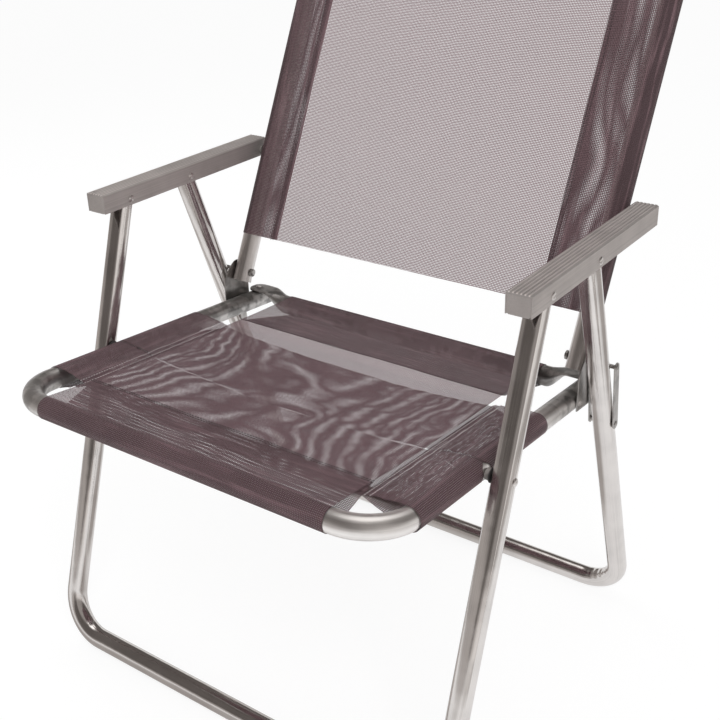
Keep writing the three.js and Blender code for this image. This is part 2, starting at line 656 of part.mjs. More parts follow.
function makeHinges() {
  const group = new THREE.Group();
  group.position.set(0, hinge.x, hinge.y);
  const boltHole = crossBar(HOLE_RADIUS, -ACROSS, ACROSS, 0, 0);
  const rivetHoles = plateRivets.map(([, along]) => {
    const place = seatFrame.localToWorld(new THREE.Vector3(0, along, 0));
    return crossBar(HOLE_RADIUS, -ACROSS, ACROSS, place.y - hinge.x, place.z - hinge.y);
  });
  const boltFrom = INNER_X - TUBE_FLAT - SEAT_GAP;
  const boltLength = OUTER_LINK_X + LINK_THICKNESS + SEAT_GAP - boltFrom;
  for (const [name, side] of SIDES) {
    const plate = sidePlate(hingePlateOutline(), PLATE_X, PLATE_THICKNESS, side);
    const bolt = fastener(boltLength, TAIL, BOLT_HEAD).translate(boltFrom, 0, 0);
    addPiece(group, "hinge_plate_" + name, cutAll(plate, [boltHole, ...rivetHoles]), STEEL);
    addPiece(group, "hinge_bolt_" + name, onSide(bolt, side, 0, 0), STEEL);
  }
  return group;
}

// Links: a pair of straps on each side, from the hinge bolt to the rear leg
function makeLinks() {
  const group = new THREE.Group();
  const reach = linkPin.distanceTo(hinge);
  group.position.set(0, hinge.x, hinge.y);
  group.rotation.x = Math.atan2(linkPin.x - hinge.x, hinge.y - linkPin.y);
  const half = LINK_WIDTH / 2;
  const outline = new THREE.Shape();
  outline.absarc(0, 0, half, 0, Math.PI, false);
  outline.absarc(0, -reach, half, Math.PI, 2 * Math.PI, false);
  outline.closePath();
  const boltHole = crossBar(HOLE_RADIUS, -ACROSS, ACROSS, 0, 0);
  const pinHole = crossBar(HOLE_RADIUS, -ACROSS, ACROSS, 0, -reach);
  const innerPinTo = LEG_X - TUBE_RADIUS - SEAT_GAP;
  const outerPinFrom = LEG_X + TUBE_RADIUS + SEAT_GAP;
  const outerPinTo = OUTER_LINK_X + LINK_THICKNESS + SEAT_GAP;
  for (const [name, side] of SIDES) {
    const inner = sidePlate(outline, INNER_LINK_X, LINK_THICKNESS, side);
    const outer = sidePlate(outline, OUTER_LINK_X, LINK_THICKNESS, side);
    const innerPin = fastener(innerPinTo - INNER_LINK_X, null, null).translate(INNER_LINK_X, 0, 0);
    const outerPin = fastener(outerPinTo - outerPinFrom, TAIL, null).translate(outerPinFrom, 0, 0);
    addPiece(group, "link_inner_" + name, cutAll(inner, [boltHole, pinHole]), STEEL);
    addPiece(group, "link_outer_" + name, cutAll(outer, [boltHole, pinHole]), STEEL);
    addPiece(group, "link_pin_inner_" + name, onSide(innerPin, side, 0, -reach), STEEL);
    addPiece(group, "link_pin_outer_" + name, onSide(outerPin, side, 0, -reach), STEEL);
  }
  return group;
}

// Back: in its own leaning frame, from the hinge bolt up along the uprights
function makeBack() {
  const group = new THREE.Group();
  group.position.set(0, hinge.x, hinge.y);
  group.rotation.x = -BACK_LEAN;
  const corners = [
    new THREE.Vector3(-INNER_X, 0, -UPRIGHT_TAIL),
    new THREE.Vector3(-INNER_X, 0, BACK_LENGTH),
    new THREE.Vector3(INNER_X, 0, BACK_LENGTH),
    new THREE.Vector3(INNER_X, 0, -UPRIGHT_TAIL),
  ];
  const boltHole = crossBar(HOLE_RADIUS, -LEG_X, LEG_X, 0, 0);
  const pivotHoles = SIDES.map(([, side]) => {
    const ends = [side * INNER_X, side * LEG_X].sort((a, b) => a - b);
    return crossBar(HOLE_RADIUS, ...ends, 0, backPinRise);
  });
  const frame = cutAll(bentTube(corners, BACK_BEND, 0), [boltHole, ...pivotHoles]);
  addPiece(group, "back_frame", frame, ALUMINIUM);

  const slingHigh = BACK_LENGTH - BACK_BEND - BACK_SLING_MARGIN;
  const toBack = new THREE.Matrix4().makeRotationZ(Math.PI).setPosition(0, 0, BACK_SLING_LOW);
  const cloth = moved(sling(INNER_X, BACK_SAG, slingHigh - BACK_SLING_LOW), toBack);
  addPiece(group, "back_sling", cutAll(cloth, pivotHoles), MESH_CLOTH);

  const tailFrom = INNER_X + TAIL_SEAT;
  const headFrom = ARM_INNER_X + ARM_WALL + SEAT_GAP;
  const spacerFrom = INNER_X + SLEEVE_RADIUS + SEAT_GAP;
  const spacerTo = ARM_INNER_X - SEAT_GAP;
  for (const [name, side] of SIDES) {
    const rivet = fastener(headFrom - tailFrom, RIVET_HEAD, TAIL).translate(tailFrom, 0, 0);
    const spacer = ring(HOLE_RADIUS, SPACER_RADIUS, spacerFrom, spacerTo);
    addPiece(group, "armrest_pivot_rivet_" + name, onSide(rivet, side, 0, backPinRise), ALUMINIUM);
    addPiece(group, "armrest_pivot_spacer_" + name, onSide(spacer, side, 0, backPinRise), NYLON);
  }
  return group;
}

// The chair, with the origin on the floor under the middle of its box
const chair = new THREE.Group();
chair.name = "folding_chair";
chair.add(makeFrontLegs(), makeRearLegs(), makeArmrests());
chair.add(makeSeat(), makeHinges(), makeLinks(), makeBack());
chair.updateMatrixWorld(true);
const middle = new THREE.Box3().setFromObject(chair, true).getCenter(new THREE.Vector3());
chair.position.y = -middle.y;

export default chair;
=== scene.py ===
import math
from collections import namedtuple
from dataclasses import dataclass

import bmesh
import bpy
from mathutils import Matrix, Vector, noise


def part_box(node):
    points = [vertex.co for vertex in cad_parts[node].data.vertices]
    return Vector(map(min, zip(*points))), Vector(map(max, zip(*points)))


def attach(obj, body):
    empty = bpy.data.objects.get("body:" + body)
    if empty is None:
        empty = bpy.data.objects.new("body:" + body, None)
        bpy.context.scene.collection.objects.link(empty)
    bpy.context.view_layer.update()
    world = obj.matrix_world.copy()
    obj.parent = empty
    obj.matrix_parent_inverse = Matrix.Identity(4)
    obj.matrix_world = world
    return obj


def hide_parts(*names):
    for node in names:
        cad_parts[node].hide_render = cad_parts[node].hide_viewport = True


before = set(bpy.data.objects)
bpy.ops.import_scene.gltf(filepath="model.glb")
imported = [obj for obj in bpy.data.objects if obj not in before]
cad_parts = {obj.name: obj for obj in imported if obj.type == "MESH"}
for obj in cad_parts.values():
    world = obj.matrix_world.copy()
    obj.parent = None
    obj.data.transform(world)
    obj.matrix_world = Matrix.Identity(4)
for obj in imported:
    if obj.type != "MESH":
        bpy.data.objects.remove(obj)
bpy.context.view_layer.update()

bl_info = {
    "name": "Folding sling chair",
    "version": (1, 0, 0),
    "blender": (4, 5, 0),
    "location": "View3D > Sidebar > Chair",
    "description": "Dresses the packed solids of a folding chair with tubes, slings, rivets and stitches",
    "category": "Object",
}

MM = 0.001
SIDES = (1, -1)

# Places and sizes of the solids, in millimetres, as the part's source has them
TUBE_RADIUS = 12.7
TUBE_WALL = 1.2
TUBE_FLAT = 12.456
LEG_X = 288
INNER_X = 255.6
ARM_TOP_Z = 575
FRONT_PIN = Vector((-54, 559.3))
REAR_PIN = Vector((53.5, 559.3))
HINGE = Vector((121.083, 406.4))
LINK_PIN = Vector((130.69, 328))
FRONT_BAR = Vector((-237, TUBE_FLAT))
REAR_BAR = Vector((236, TUBE_FLAT))
SEAT_FRONT = Vector((-283.4, 394))
SEAT_TILT = math.radians(5.03)
BACK_LEAN = math.radians(26.45)
FRAME_BEND = 55
BACK_BEND = 70
BACK_LENGTH = 504
BACK_FOOT = -14
RAIL_ALONG = 433.8
SEAT_END = RAIL_ALONG + 17
PIVOT_ALONG = 169.6
PIVOT_DROP = 190.03
HINGE_ALONG = 401.8
BACK_PIN_RISE = 170.77
ARM_FRONT = -98
ARM_REAR = 206.15
ARM_WIDTH = 29
ARM_WALL = 1.5
ARM_CORNER = 1.5
ARM_HEIGHT = 23.8
END_ROUND = 13.0
PLATE_X = 268.36
PLATE_THICKNESS = 1.8
INNER_LINK_X = 271.16
OUTER_LINK_X = 301.7
SLEEVE = 13.4
SHIFT_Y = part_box("armrest_left")[0].y - ARM_FRONT * MM

# Rings and fasteners, in millimetres: spans are from x to x, heads are (radius, height)
PIVOT_WASHER = (273.8, 275.0)
PIVOT_SPACER = (268.4, 273.5)
ARM_SPACER = (270.3, 273.2)
WASHER_RADIUS = 8.5
SPACER_RADIUS = 6.5
RING_BORE = 3.1
SHANK = 2.5
RIVET = (4.5, 2.0)
TAIL = (4.0, 1.5)

# Height of a stitch, in metres
STITCH_HEIGHT = 0.0009


def body_frame(place, tilt=0.0):
    """From millimetres in a body's own frame to the row frame: place is (y, z), tilt turns about X."""
    here = Matrix.Translation((0, place.x * MM + SHIFT_Y, place.y * MM))
    return here @ Matrix.Rotation(tilt, 4, "X") @ Matrix.Scale(MM, 4)


def lean(top, foot):
    return math.atan2(foot.x - top.x, top.y - foot.y)


FRONT_LEGS = body_frame(FRONT_PIN, lean(FRONT_PIN, FRONT_BAR))
REAR_LEGS = body_frame(REAR_PIN, lean(REAR_PIN, REAR_BAR))
ARMS = body_frame(Vector((0, ARM_TOP_Z)))
SEAT = body_frame(SEAT_FRONT, -SEAT_TILT)
HINGES = body_frame(HINGE)
LINKS = body_frame(HINGE, lean(HINGE, LINK_PIN))
BACK = body_frame(HINGE, -BACK_LEAN)
LINK_REACH = (LINK_PIN - HINGE).length


# Sizes and colours

def shown(*screen):
    """A screen colour, 0 to 255, as the linear colour that shaders take."""
    def linear(v):
        return v / 12.92 if v <= 0.04045 else ((v + 0.055) / 1.055) ** 2.4
    return tuple(linear(v / 255) for v in screen)


def number(name, description, default, low, high):
    return bpy.props.IntProperty(name=name, description=description, default=default, min=low, max=high)


def metres(name, description, default):
    return bpy.props.FloatProperty(name=name, description=description, default=default, unit="LENGTH")


def tint(name, description, default):
    return bpy.props.FloatVectorProperty(name=name, description=description, default=default, subtype="COLOR")


class ChairSizes(bpy.types.PropertyGroup):
    tube_sides: number("Tube sides", "Faces round a tube", 48, 12, 96)
    bend_steps: number("Bend steps", "Rings in a bend", 40, 8, 96)
    crease_depth: metres("Crease depth", "Depth of the creases inside a floor bend", 0.0006)
    crease_count: number("Creases", "Creases inside a floor bend", 7, 0, 20)
    rib_count: number("Armrest ribs", "Lengthwise ribs on an armrest", 6, 1, 12)
    rib_height: metres("Rib height", "Height of an armrest rib", 0.0008)
    long_half: metres("Long sling half width", "Middle to edge of the long seat sling", 0.198)
    front_flap: metres("Front flap", "Front bar to the seam of the long sling", 0.068)
    rear_flap: metres("Rear flap", "Rear rail to the seam of the long sling", 0.102)
    long_sag: metres("Long sling sag", "Sag of the long seat sling", 0.005)
    cross_seam: metres("Side seam", "Middle to the side seam of a cross sling", 0.2)
    cross_sag: metres("Cross sling sag", "Sag of a cross sling between its seams", 0.009)
    back_seam_left: metres("Back seam left", "Middle to the left seam of the back", 0.19)
    back_seam_right: metres("Back seam right", "Middle to the right seam of the back", 0.207)
    back_hem: metres("Back hem", "Width of the folded hem of the back's flaps", 0.017)
    back_sag: metres("Back sag", "Sag of the back sling", 0.012)
    yarn_pitch: metres("Yarn pitch", "Distance between neighbouring yarns", 0.002)
    open_share: bpy.props.FloatProperty(
        name="Open share", description="Share of the mesh that is open", default=0.35, subtype="FACTOR")
    yarn_thickness: metres("Yarn thickness", "Thickness of the seat slings", 0.00012)
    stitch_length: metres("Stitch length", "Length of one stitch", 0.0032)
    stitch_width: metres("Stitch width", "Width of one stitch", 0.0015)
    stitch_spacing: metres("Stitch spacing", "Distance from stitch to stitch", 0.0039)


class ChairColours(bpy.types.PropertyGroup):
    aluminium: tint("Aluminium", "Polished and satin tubes and rivets", (0.8, 0.765, 0.745))
    seat_tube: tint("Seat tube", "Seat frame and its rear rail", (0.95, 0.92, 0.9))
    channel: tint("Channel", "Armrest channels and caps", (0.56, 0.515, 0.495))
    steel: tint("Steel", "Hinge plates, links, bolts", (0.55, 0.53, 0.515))
    washer: tint("Washer", "Washers of the seat pivots", (0.06, 0.055, 0.054))
    nylon: tint("Nylon", "Spacers", shown(150, 144, 140))
    yarn: tint("Yarn", "Yarn of the slings", shown(114, 91, 95))
    seat_thread: tint("Seat thread", "Sewing thread of the seat's side seams", shown(226, 214, 215))
    back_thread: tint("Back thread", "Sewing thread of the other seams", shown(104, 92, 94))
    backdrop: tint("Backdrop", "Floor and backdrop", (0.92, 0.92, 0.92))


def chair_sizes():
    return bpy.context.scene.chair_sizes


def rib_pitch():
    """Distance from rib to rib on an armrest, in millimetres."""
    return (ARM_WIDTH - 2 * ARM_CORNER) / chair_sizes().rib_count


# Shader writing

def maths(operation, reflected=False):
    """A method that takes a wire and other values to a Math node."""
    def method(self, *others):
        values = (*others, self) if reflected else (self, *others)
        return self.finish.node("ShaderNodeMath", {"operation": operation}, dict(enumerate(values)))
    return method


class Wire:
    """An output of a shader node. Arithmetic on it adds Math nodes."""

    def __init__(self, finish, socket):
        self.finish = finish
        self.socket = socket

    __add__, __radd__ = maths("ADD"), maths("ADD", True)
    __sub__, __rsub__ = maths("SUBTRACT"), maths("SUBTRACT", True)
    __mul__, __rmul__ = maths("MULTIPLY"), maths("MULTIPLY", True)
    __gt__, __lt__ = maths("GREATER_THAN"), maths("LESS_THAN")
    __abs__ = maths("ABSOLUTE")
    fraction = maths("FRACT")
    floor = maths("FLOOR")
    larger = maths("MAXIMUM")

    def step(self, low, high):
        """0 below low, 1 above high, smooth between."""
        values = {"Value": self, "From Min": low, "From Max": high, "To Min": 0.0, "To Max": 1.0}
        return self.finish.node("ShaderNodeMapRange", {"interpolation_type": "SMOOTHSTEP"}, values)


class Finish:
    """A node tree under construction."""

    def __init__(self, tree):
        self.tree = tree
        tree.nodes.clear()

    @classmethod
    def material(cls, name):
        made = bpy.data.materials.new(name)
        made.use_nodes = True
        new = cls(made.node_tree)
        new.made = made
        return new

    def node(self, kind, settings=None, values=None, output=0):
        node = self.tree.nodes.new(kind)
        for key, value in (settings or {}).items():
            setattr(node, key, value)
        for key, value in (values or {}).items():
            if isinstance(value, Wire):
                self.tree.links.new(value.socket, node.inputs[key])
            else:
                node.inputs[key].default_value = value
        return Wire(self, node.outputs[output]) if node.outputs else None

    def place(self):
        """Object coordinates, in metres."""
        return self.node("ShaderNodeTexCoord", output="Object")

    def sheet(self):
        """The piece's own map."""
        return self.node("ShaderNodeTexCoord", output="UV")

    def ray(self, kind):
        return self.node("ShaderNodeLightPath", output=f"Is {kind} Ray")

    def mix(self, a, b, share):
        """Colour a where share is 0, colour b where it is 1."""
        a, b = (end if isinstance(end, Wire) else (*end, 1.0) for end in (a, b))
        return self.node("ShaderNodeMix", {"data_type": "RGBA"}, {0: share, 6: a, 7: b}, output=2)

    def parts(self, vector):
        split = self.node("ShaderNodeSeparateXYZ", None, {0: vector})
        return [Wire(self, socket) for socket in split.socket.node.outputs]

    def scaled(self, vector, scale):
        return self.node("ShaderNodeVectorMath", {"operation": "MULTIPLY"}, {0: vector, 1: scale})

    def clouds(self, vector, scale, detail):
        return self.node("ShaderNodeTexNoise", None, {"Vector": vector, "Scale": scale, "Detail": detail})

    def bump(self, height, distance):
        return self.node("ShaderNodeBump", None, {"Height": height, "Distance": distance, "Strength": 1.0})

    def surface(self, **values):
        named = {key.replace("_", " ").title().replace("Ior", "IOR"): value for key, value in values.items()}
        return self.output(self.node("ShaderNodeBsdfPrincipled", None, named))

    def output(self, shader):
        self.node("ShaderNodeOutputMaterial", None, {"Surface": shader})
        return self.made


def shade(base, share):
    """A colour made darker or lighter by a share."""
    return tuple(share * c for c in base)


def metal_finish(name, base, rough, streaks, dents, shade_span=None):
    """Drawn metal: fine lines along the piece's map, faint smudges and shallow dents.
    Painted shade, mottled, darkens the piece between two places on Y, and painted shade darkens the bend of
    the seat on -X."""
    f = Finish.material(name)
    place = f.place()
    lines = f.clouds(f.scaled(f.sheet(), (70.0, 3.0, 1.0)), 1.0, 3.0)
    smudge = f.clouds(place, 26.0, 3.0)
    ripple = f.clouds(place, 38.0, 1.0)
    worn = (smudge - 0.5) * 0.5 + (lines - 0.5) * 0.5
    tone = f.mix(shade(base, 0.82), base, (worn + 0.5).step(0.3, 0.62))
    # Painted shade, mottled: darker between two places on Y and on the seat's bend on -X.
    if shade_span:
        x, y, _ = f.parts(place)
        shade_mottle = f.clouds(place, 60.0, 3.0).step(0.42, 0.6) * 0.5 + 0.5
        bend = (x * -1.0).step(0.17, 0.23) * 0.75
        tone = f.mix(tone, shade(base, 0.3), y.step(*shade_span).larger(bend) * shade_mottle)
    return f.surface(
        base_color=tone,
        metallic=1.0,
        roughness=rough + worn * 0.22,
        normal=f.bump(ripple * dents + lines * streaks, 0.001),
    )


def channel_finish(name, base):
    """Extruded metal: die lines along Y, and painted highlights on the crests and front ends of the ribs."""
    f = Finish.material(name)
    place = f.place()
    x, y, z = f.parts(place)
    lines = f.clouds(f.scaled(place, (1500.0, 6.0, 1500.0)), 1.0, 2.0)
    smudge = f.clouds(place, 22.0, 4.0)
    worn = (smudge - 0.5) * 0.6 + (lines - 0.5) * 0.7
    tone = f.mix(shade(base, 0.74), base, (worn + 0.5).step(0.25, 0.7))
    across = ((abs(x) - LEG_X * MM) * (1 / (rib_pitch() * MM))).fraction()
    near_top = z.step((ARM_TOP_Z - 1.6) * MM, (ARM_TOP_Z - 0.6) * MM)
    crest = (1.0 - abs(across - 0.5).step(0.08, 0.3)) * near_top
    front = ARM_FRONT * MM + SHIFT_Y
    tip = 1.0 - y.step(front + 0.0012, front + 0.0035)
    # Painted highlights: the rib crests on top, brightest at the ribs' front ends.
    painted_glint = crest * (0.25 + smudge * 0.5).larger(tip)
    return f.surface(
        base_color=f.mix(tone, shade(base, 1.6), painted_glint),
        metallic=0.6,
        roughness=0.42 + worn * 0.25,
        normal=f.bump(lines, 0.00012),
    )


def plain_finish(name, base, rough, metallic, grain):
    """Pressed steel or moulded plastic: mottled tint and a fine grain."""
    f = Finish.material(name)
    place = f.place()
    mottle = f.clouds(place, 60.0, 4.0)
    return f.surface(
        base_color=f.mix(shade(base, 0.6), base, mottle.step(0.3, 0.62)),
        metallic=metallic,
        roughness=rough + (mottle - 0.5) * 0.3,
        normal=f.bump(f.clouds(place, 900.0, 2.0), grain),
    )


def mesh_cloth_finish(name, yarn):
    """Open mesh: two sets of coated yarns on the sheet's own map, which is in metres.
    The attribute closed shrinks the holes and paints the yarn darker, a painted shade of doubled and wrapped
    cloth.
    Cloth that lies alone gets painted light, and cloth with a flap or a tube behind it gets painted light
    streaks along its width, for the moiré of the layers."""
    f = Finish.material(name)
    sizes = chair_sizes()
    sheet = f.sheet()
    per_yarn = 1 / sizes.yarn_pitch
    u, v, _ = f.parts(f.scaled(sheet, (per_yarn, per_yarn, 1.0)))
    from_hole_u = abs(u.fraction() - 0.5)
    from_hole_v = abs(v.fraction() - 0.5)
    closed = f.node("ShaderNodeAttribute", {"attribute_name": "closed"}, output=2)
    alone = 1.0 - closed.step(0.0, 0.03)
    half_hole = (1.0 - closed) * (1.0 - alone * 0.05) * (0.5 * math.sqrt(sizes.open_share))
    soft = 0.06
    warp = from_hole_u.step(half_hole - soft, half_hole + soft)
    weft = from_hole_v.step(half_hole - soft, half_hole + soft)
    over = ((u + 0.5).floor() + (v + 0.5).floor()) * 0.5
    warp_on_top = over.fraction() > 0.25
    top = warp_on_top * warp + (1.0 - warp_on_top) * weft
    patches = f.clouds(f.place(), 18.0, 3.0)
    slub = f.clouds(f.scaled(sheet, (900.0, 25.0, 1.0)), 1.0, 2.0)
    # Mask of painted light streaks along the width, for the moiré of the layers.
    grain = f.clouds(f.scaled(sheet, (150.0, 8.0, 1.0)), 1.0, 4.0).step(0.5, 0.66)
    lit = (patches * 0.4 + slub * 0.4 + top * 0.2).step(0.2, 0.8)
    tone = f.mix(shade(yarn, 0.7), shade(yarn, 1.45), lit)
    # Painted shade: yarn darker where the mesh is closed, in doubled and wrapped cloth.
    tone = f.mix(tone, shade(yarn, 0.3), closed)
    # Painted light: cloth that lies alone is lighter.
    tone = f.mix(tone, shade(yarn, 1.8), alone * 0.8)
    # Painted light streaks where a flap or a tube lies behind the cloth.
    tone = f.mix(tone, shade(yarn, 2.0), grain * closed.step(0.03, 0.05) * 0.45)
    round_u = warp * (from_hole_u - half_hole)
    round_v = weft * (from_hole_v - half_hole)
    return f.surface(
        base_color=tone,
        roughness=0.55 + (slub - 0.5) * 0.3,
        alpha=warp.larger(weft),
        normal=f.bump(round_u.larger(round_v) + top * 0.1, 0.0012),
        specular_ior_level=0.35,
    )


def thread_finish(name, base):
    """Twisted sewing thread."""
    f = Finish.material(name)
    place = f.place()
    twist = f.node("ShaderNodeTexWave", None, {"Vector": place, "Scale": 900.0, "Distortion": 3.0}, output=1)
    dirt = f.clouds(place, 40.0, 3.0)
    tone = f.mix(shade(base, 0.62), base, (twist * 0.5 + dirt * 0.5).step(0.25, 0.7))
    return f.surface(base_color=tone, roughness=0.7, normal=f.bump(twist, 0.0002))


def floor_finish(name, backdrop):
    """A white floor that gives the tubes grey places to reflect: towards +X, in front, painted shadows
    along the front bar and under the seat, and a paler one far out on +X."""
    f = Finish.material(name)
    place = f.place()
    tone = f.mix(shade(backdrop, 0.985), backdrop, f.clouds(place, 3.0, 2.0))
    matt = f.node("ShaderNodeBsdfDiffuse", None, {"Color": tone})
    x, y, _ = f.parts(place)
    side = x.step(0.8, 1.15).larger(x.step(0.56, 0.74) * y.step(0.1, 0.4))
    front = (x * -0.55 + y * -0.83).step(0.8, 1.3)
    # Painted shadows, seen only in reflections: along the front bar and under the seat.
    from_bar = abs(y - FRONT_BAR.x * MM - SHIFT_Y)
    bar = (1.0 - from_bar.step(0.03, 0.16)) * (1.0 - x.step(-0.05, 0.2))
    under = 1.0 - (x * x + y * y).step(0.02, 0.07)
    away = side.larger(front).larger(bar).larger(under)
    beyond = x.step(1.6, 2.4)
    camera, glossy = f.ray("Camera"), f.ray("Glossy")
    sweep = f.mix((1, 1, 1), (0.36, 0.335, 0.32), away * glossy)
    sweep = f.mix(sweep, (0.84, 0.82, 0.8), beyond * glossy)
    lit = f.node("ShaderNodeEmission", None, {"Color": sweep, "Strength": 1.08})
    white = (camera * 0.78).larger(glossy * (0.4 + away * 0.5))
    return f.output(f.node("ShaderNodeMixShader", None, {0: white, 1: matt, 2: lit}))


# Each finish: what makes it, its colour, and what else the maker takes
FINISHES = {
    "polished_tube": (metal_finish, "aluminium", 0.16, 0.05, 0.4),
    "satin_tube": (metal_finish, "aluminium", 0.3, 0.1, 0.3),
    # The seat tube and its rail carry painted shade at the rear and on the bend on -X.
    "stained_tube": (metal_finish, "seat_tube", 0.4, 0.1, 0.3, (-0.02, 0.06)),
    "ribbed_channel": (channel_finish, "channel"),
    "rivet_metal": (plain_finish, "aluminium", 0.28, 1.0, 0.00003),
    "pressed_steel": (plain_finish, "steel", 0.34, 1.0, 0.00004),
    "dark_washer": (plain_finish, "washer", 0.45, 0.0, 0.00003),
    "moulded_nylon": (plain_finish, "nylon", 0.5, 0.0, 0.00005),
    "open_mesh": (mesh_cloth_finish, "yarn"),
    "seat_thread": (thread_finish, "seat_thread"),
    "back_thread": (thread_finish, "back_thread"),
    "pale_floor": (floor_finish, "backdrop"),
}


def finish(name):
    """The material of that name, made at its first use."""
    made = bpy.data.materials.get(name)
    if made:
        return made
    maker, key, *values = FINISHES[name]
    return maker(name, getattr(bpy.context.scene.chair_colours, key), *values)


# Mesh making

def add_object(name, data):
    added = bpy.data.objects.new(name, data)
    bpy.context.scene.collection.objects.link(added)
    return added


def add_piece(name, mesh, material):
    mesh.materials.append(finish(material))
    return add_object(name, mesh)


def settle(piece, body, slot, *nodes):
    """The piece rides on a body and stands for the nodes. Its slot is not used."""
    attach(piece, body)
    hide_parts(*nodes)


def both(*stems):
    """The names of the left and the right node of each stem."""
    return [f"{stem}_{side}" for stem in stems for side in ("left", "right")]


def sharpen(mesh, angle):
    """Turns the faces outwards and shades them smooth. Edges above the angle, in degrees, stay sharp."""
    mesh.shade_smooth()
    work = bmesh.new()
    work.from_mesh(mesh)
    bmesh.ops.recalc_face_normals(work, faces=work.faces)
    for edge in work.edges:
        edge.smooth = edge.calc_face_angle(0.0) < math.radians(angle)
    work.to_mesh(mesh)
    work.free()


def bevel(piece, width, segments=3):
    rounding = piece.modifiers.new("Rounded edges", "BEVEL")
    rounding.width = width
    rounding.segments = segments
    rounding.limit_method = "ANGLE"
    rounding.angle_limit = math.radians(40)
    rounding.harden_normals = True
    piece.data.shade_smooth()


def paint_map(mesh, corners):
    layer = mesh.uv_layers.new(name="UVMap")
    for corner, at in zip(layer.data, corners):
        corner.uv = at


def loft(name, rings, along, frame_matrix, sharp):
    """One closed skin over rings of equally many points, with a map of (around, along)."""
    count = len(rings[0])
    last = (len(rings) - 1) * count
    faces = []
    corners = []
    for i, (near, far) in enumerate(zip(along, along[1:])):
        a, b = i * count, (i + 1) * count
        for k in range(count):
            n = (k + 1) % count
            faces.append((a + k, a + n, b + n, b + k))
            low, high = k / count, (k + 1) / count
            corners += [(low, near), (high, near), (high, far), (low, far)]
    faces += [tuple(range(count))[::-1], tuple(range(last, last + count))]
    corners += [(k / count, along[0]) for k in range(count)][::-1]
    corners += [(k / count, along[-1]) for k in range(count)]
    mesh = bpy.data.meshes.new(name)
    mesh.from_pydata([point for ring in rings for point in ring], [], faces)
    paint_map(mesh, corners)
    mesh.transform(frame_matrix)
    sharpen(mesh, sharp)
    return mesh


def passed_lengths(points):
    """The length of a line up to each of its points."""
    passed = [0.0]
    for a, b in zip(points, points[1:]):
        passed.append(passed[-1] + (b - a).length)
    return passed


# A place on the centre line of a tube: bend is the share of a bend passed, or None
Station = namedtuple("Station", "point tangent bend", defaults=(None,))


def u_corners(half, end, bar, axis):
    """Corners of a U-shaped frame, whose ends and bar lie at two places along an axis."""
    spots = ((-half, end), (-half, bar), (half, bar), (half, end))
    return [Vector((x, 0, 0)) + Vector(axis) * place for x, place in spots]


def bent_line(corners, radius, steps):
    """The stations of a line with round bends, and the axis that it bends about."""
    way = [(b - a).normalized() for a, b in zip(corners, corners[1:])]
    axis = way[0].cross(way[1]).normalized()
    line = [Station(corners[0], way[0])]
    for corner, before, after in zip(corners[1:], way, way[1:]):
        turn = before.angle(after)
        inward = axis.cross(before)
        centre = corner - before * radius * math.tan(turn / 2) + inward * radius
        for k in range(steps + 1):
            spin = Matrix.Rotation(turn * k / steps, 3, axis)
            line.append(Station(centre - spin @ inward * radius, spin @ before, k / steps))
    line.append(Station(corners[-1], way[-1]))
    return line, axis


def bent_tube(name, corners, bend, frame_matrix, material, crease=0.0, round_top=False):
    """A bent tube with open ends, where its wall shows. A crease is the depth of the folds inside its
    bends, and with a round top its ends follow the rounding of the leg tops."""
    sizes = chair_sizes()
    sides = sizes.tube_sides
    line, axis = bent_line(corners, bend, sizes.bend_steps)
    bore = TUBE_RADIUS - TUBE_WALL
    depth = 30.0

    def ring(station, radius, shift=0.0):
        inward = axis.cross(station.tangent)
        points = []
        for k in range(sides):
            angle = 2 * math.pi * k / sides
            out = axis * math.cos(angle) + inward * math.sin(angle)
            reach, move = radius, shift
            if station.bend is not None:
                window = math.sin(math.pi * station.bend) ** 2
                inside = max(0.0, math.sin(angle)) ** 3
                wave = math.sin(2 * math.pi * sizes.crease_count * station.bend)
                reach += crease * window * inside * wave
            elif round_top and shift != depth:
                move += END_ROUND - math.sqrt(END_ROUND ** 2 - (radius * math.cos(angle)) ** 2)
            points.append(station.point + out * reach + station.tangent * move)
        return points

    first, last = line[0], line[-1]
    rings = [ring(first, bore, depth), ring(first, bore), ring(first, TUBE_RADIUS)]
    rings += [ring(station, TUBE_RADIUS) for station in line[1:-1]]
    end = Station(last.point, -last.tangent)
    far = [ring(end, *shape)[::-1] for shape in ((TUBE_RADIUS, 0.0), (bore, 0.0), (bore, depth))]
    start = min(range(sides), key=lambda k: (far[0][k] - rings[-1][0]).length)
    rings += [points[start:] + points[:start] for points in far]
    passed = [MM * each for each in passed_lengths([station.point for station in line])]
    along = [0.0, 0.0, *passed, passed[-1], passed[-1]]
    return add_piece(name, loft(name, rings, along, frame_matrix, sharp=60), material)


def arc(centre, radius, start, end, steps):
    """Points on an arc between two angles, in degrees."""
    angles = (math.radians(start + (end - start) * k / steps) for k in range(steps + 1))
    return [centre + radius * Vector((math.cos(a), math.sin(a))) for a in angles]


def bridge(work, loops):
    """Faces from each loop of points to the next."""
    for a, b in zip(loops, loops[1:]):
        for k in range(len(a)):
            n = (k + 1) % len(a)
            work.faces.new((a[k], a[n], b[n], b[k]))


def slab(work, near, far):
    """A prism between two like outlines."""
    loops = [[work.verts.new(point) for point in outline] for outline in (near, far)]
    work.faces.new(loops[0][::-1])
    work.faces.new(loops[1])
    bridge(work, loops)


def mesh_of(work, name, frame_matrix):
    """The finished mesh of a bmesh, moved into the row frame."""
    bmesh.ops.recalc_face_normals(work, faces=work.faces)
    mesh = bpy.data.meshes.new(name)
    work.to_mesh(mesh)
    work.free()
    mesh.transform(frame_matrix)
    return mesh


def plates(name, outline, starts, frame_matrix, material, edge):
    """Flat plates of one outline in the side view, outwards from each x, on both sides."""
    work = bmesh.new()
    for start in starts:
        for s in SIDES:
            span = (start, start + PLATE_THICKNESS)
            slab(work, *([(s * x, p.x, p.y) for p in outline] for x in span))
    piece = add_piece(name, mesh_of(work, name, frame_matrix), material)
    bevel(piece, edge)
    return piece


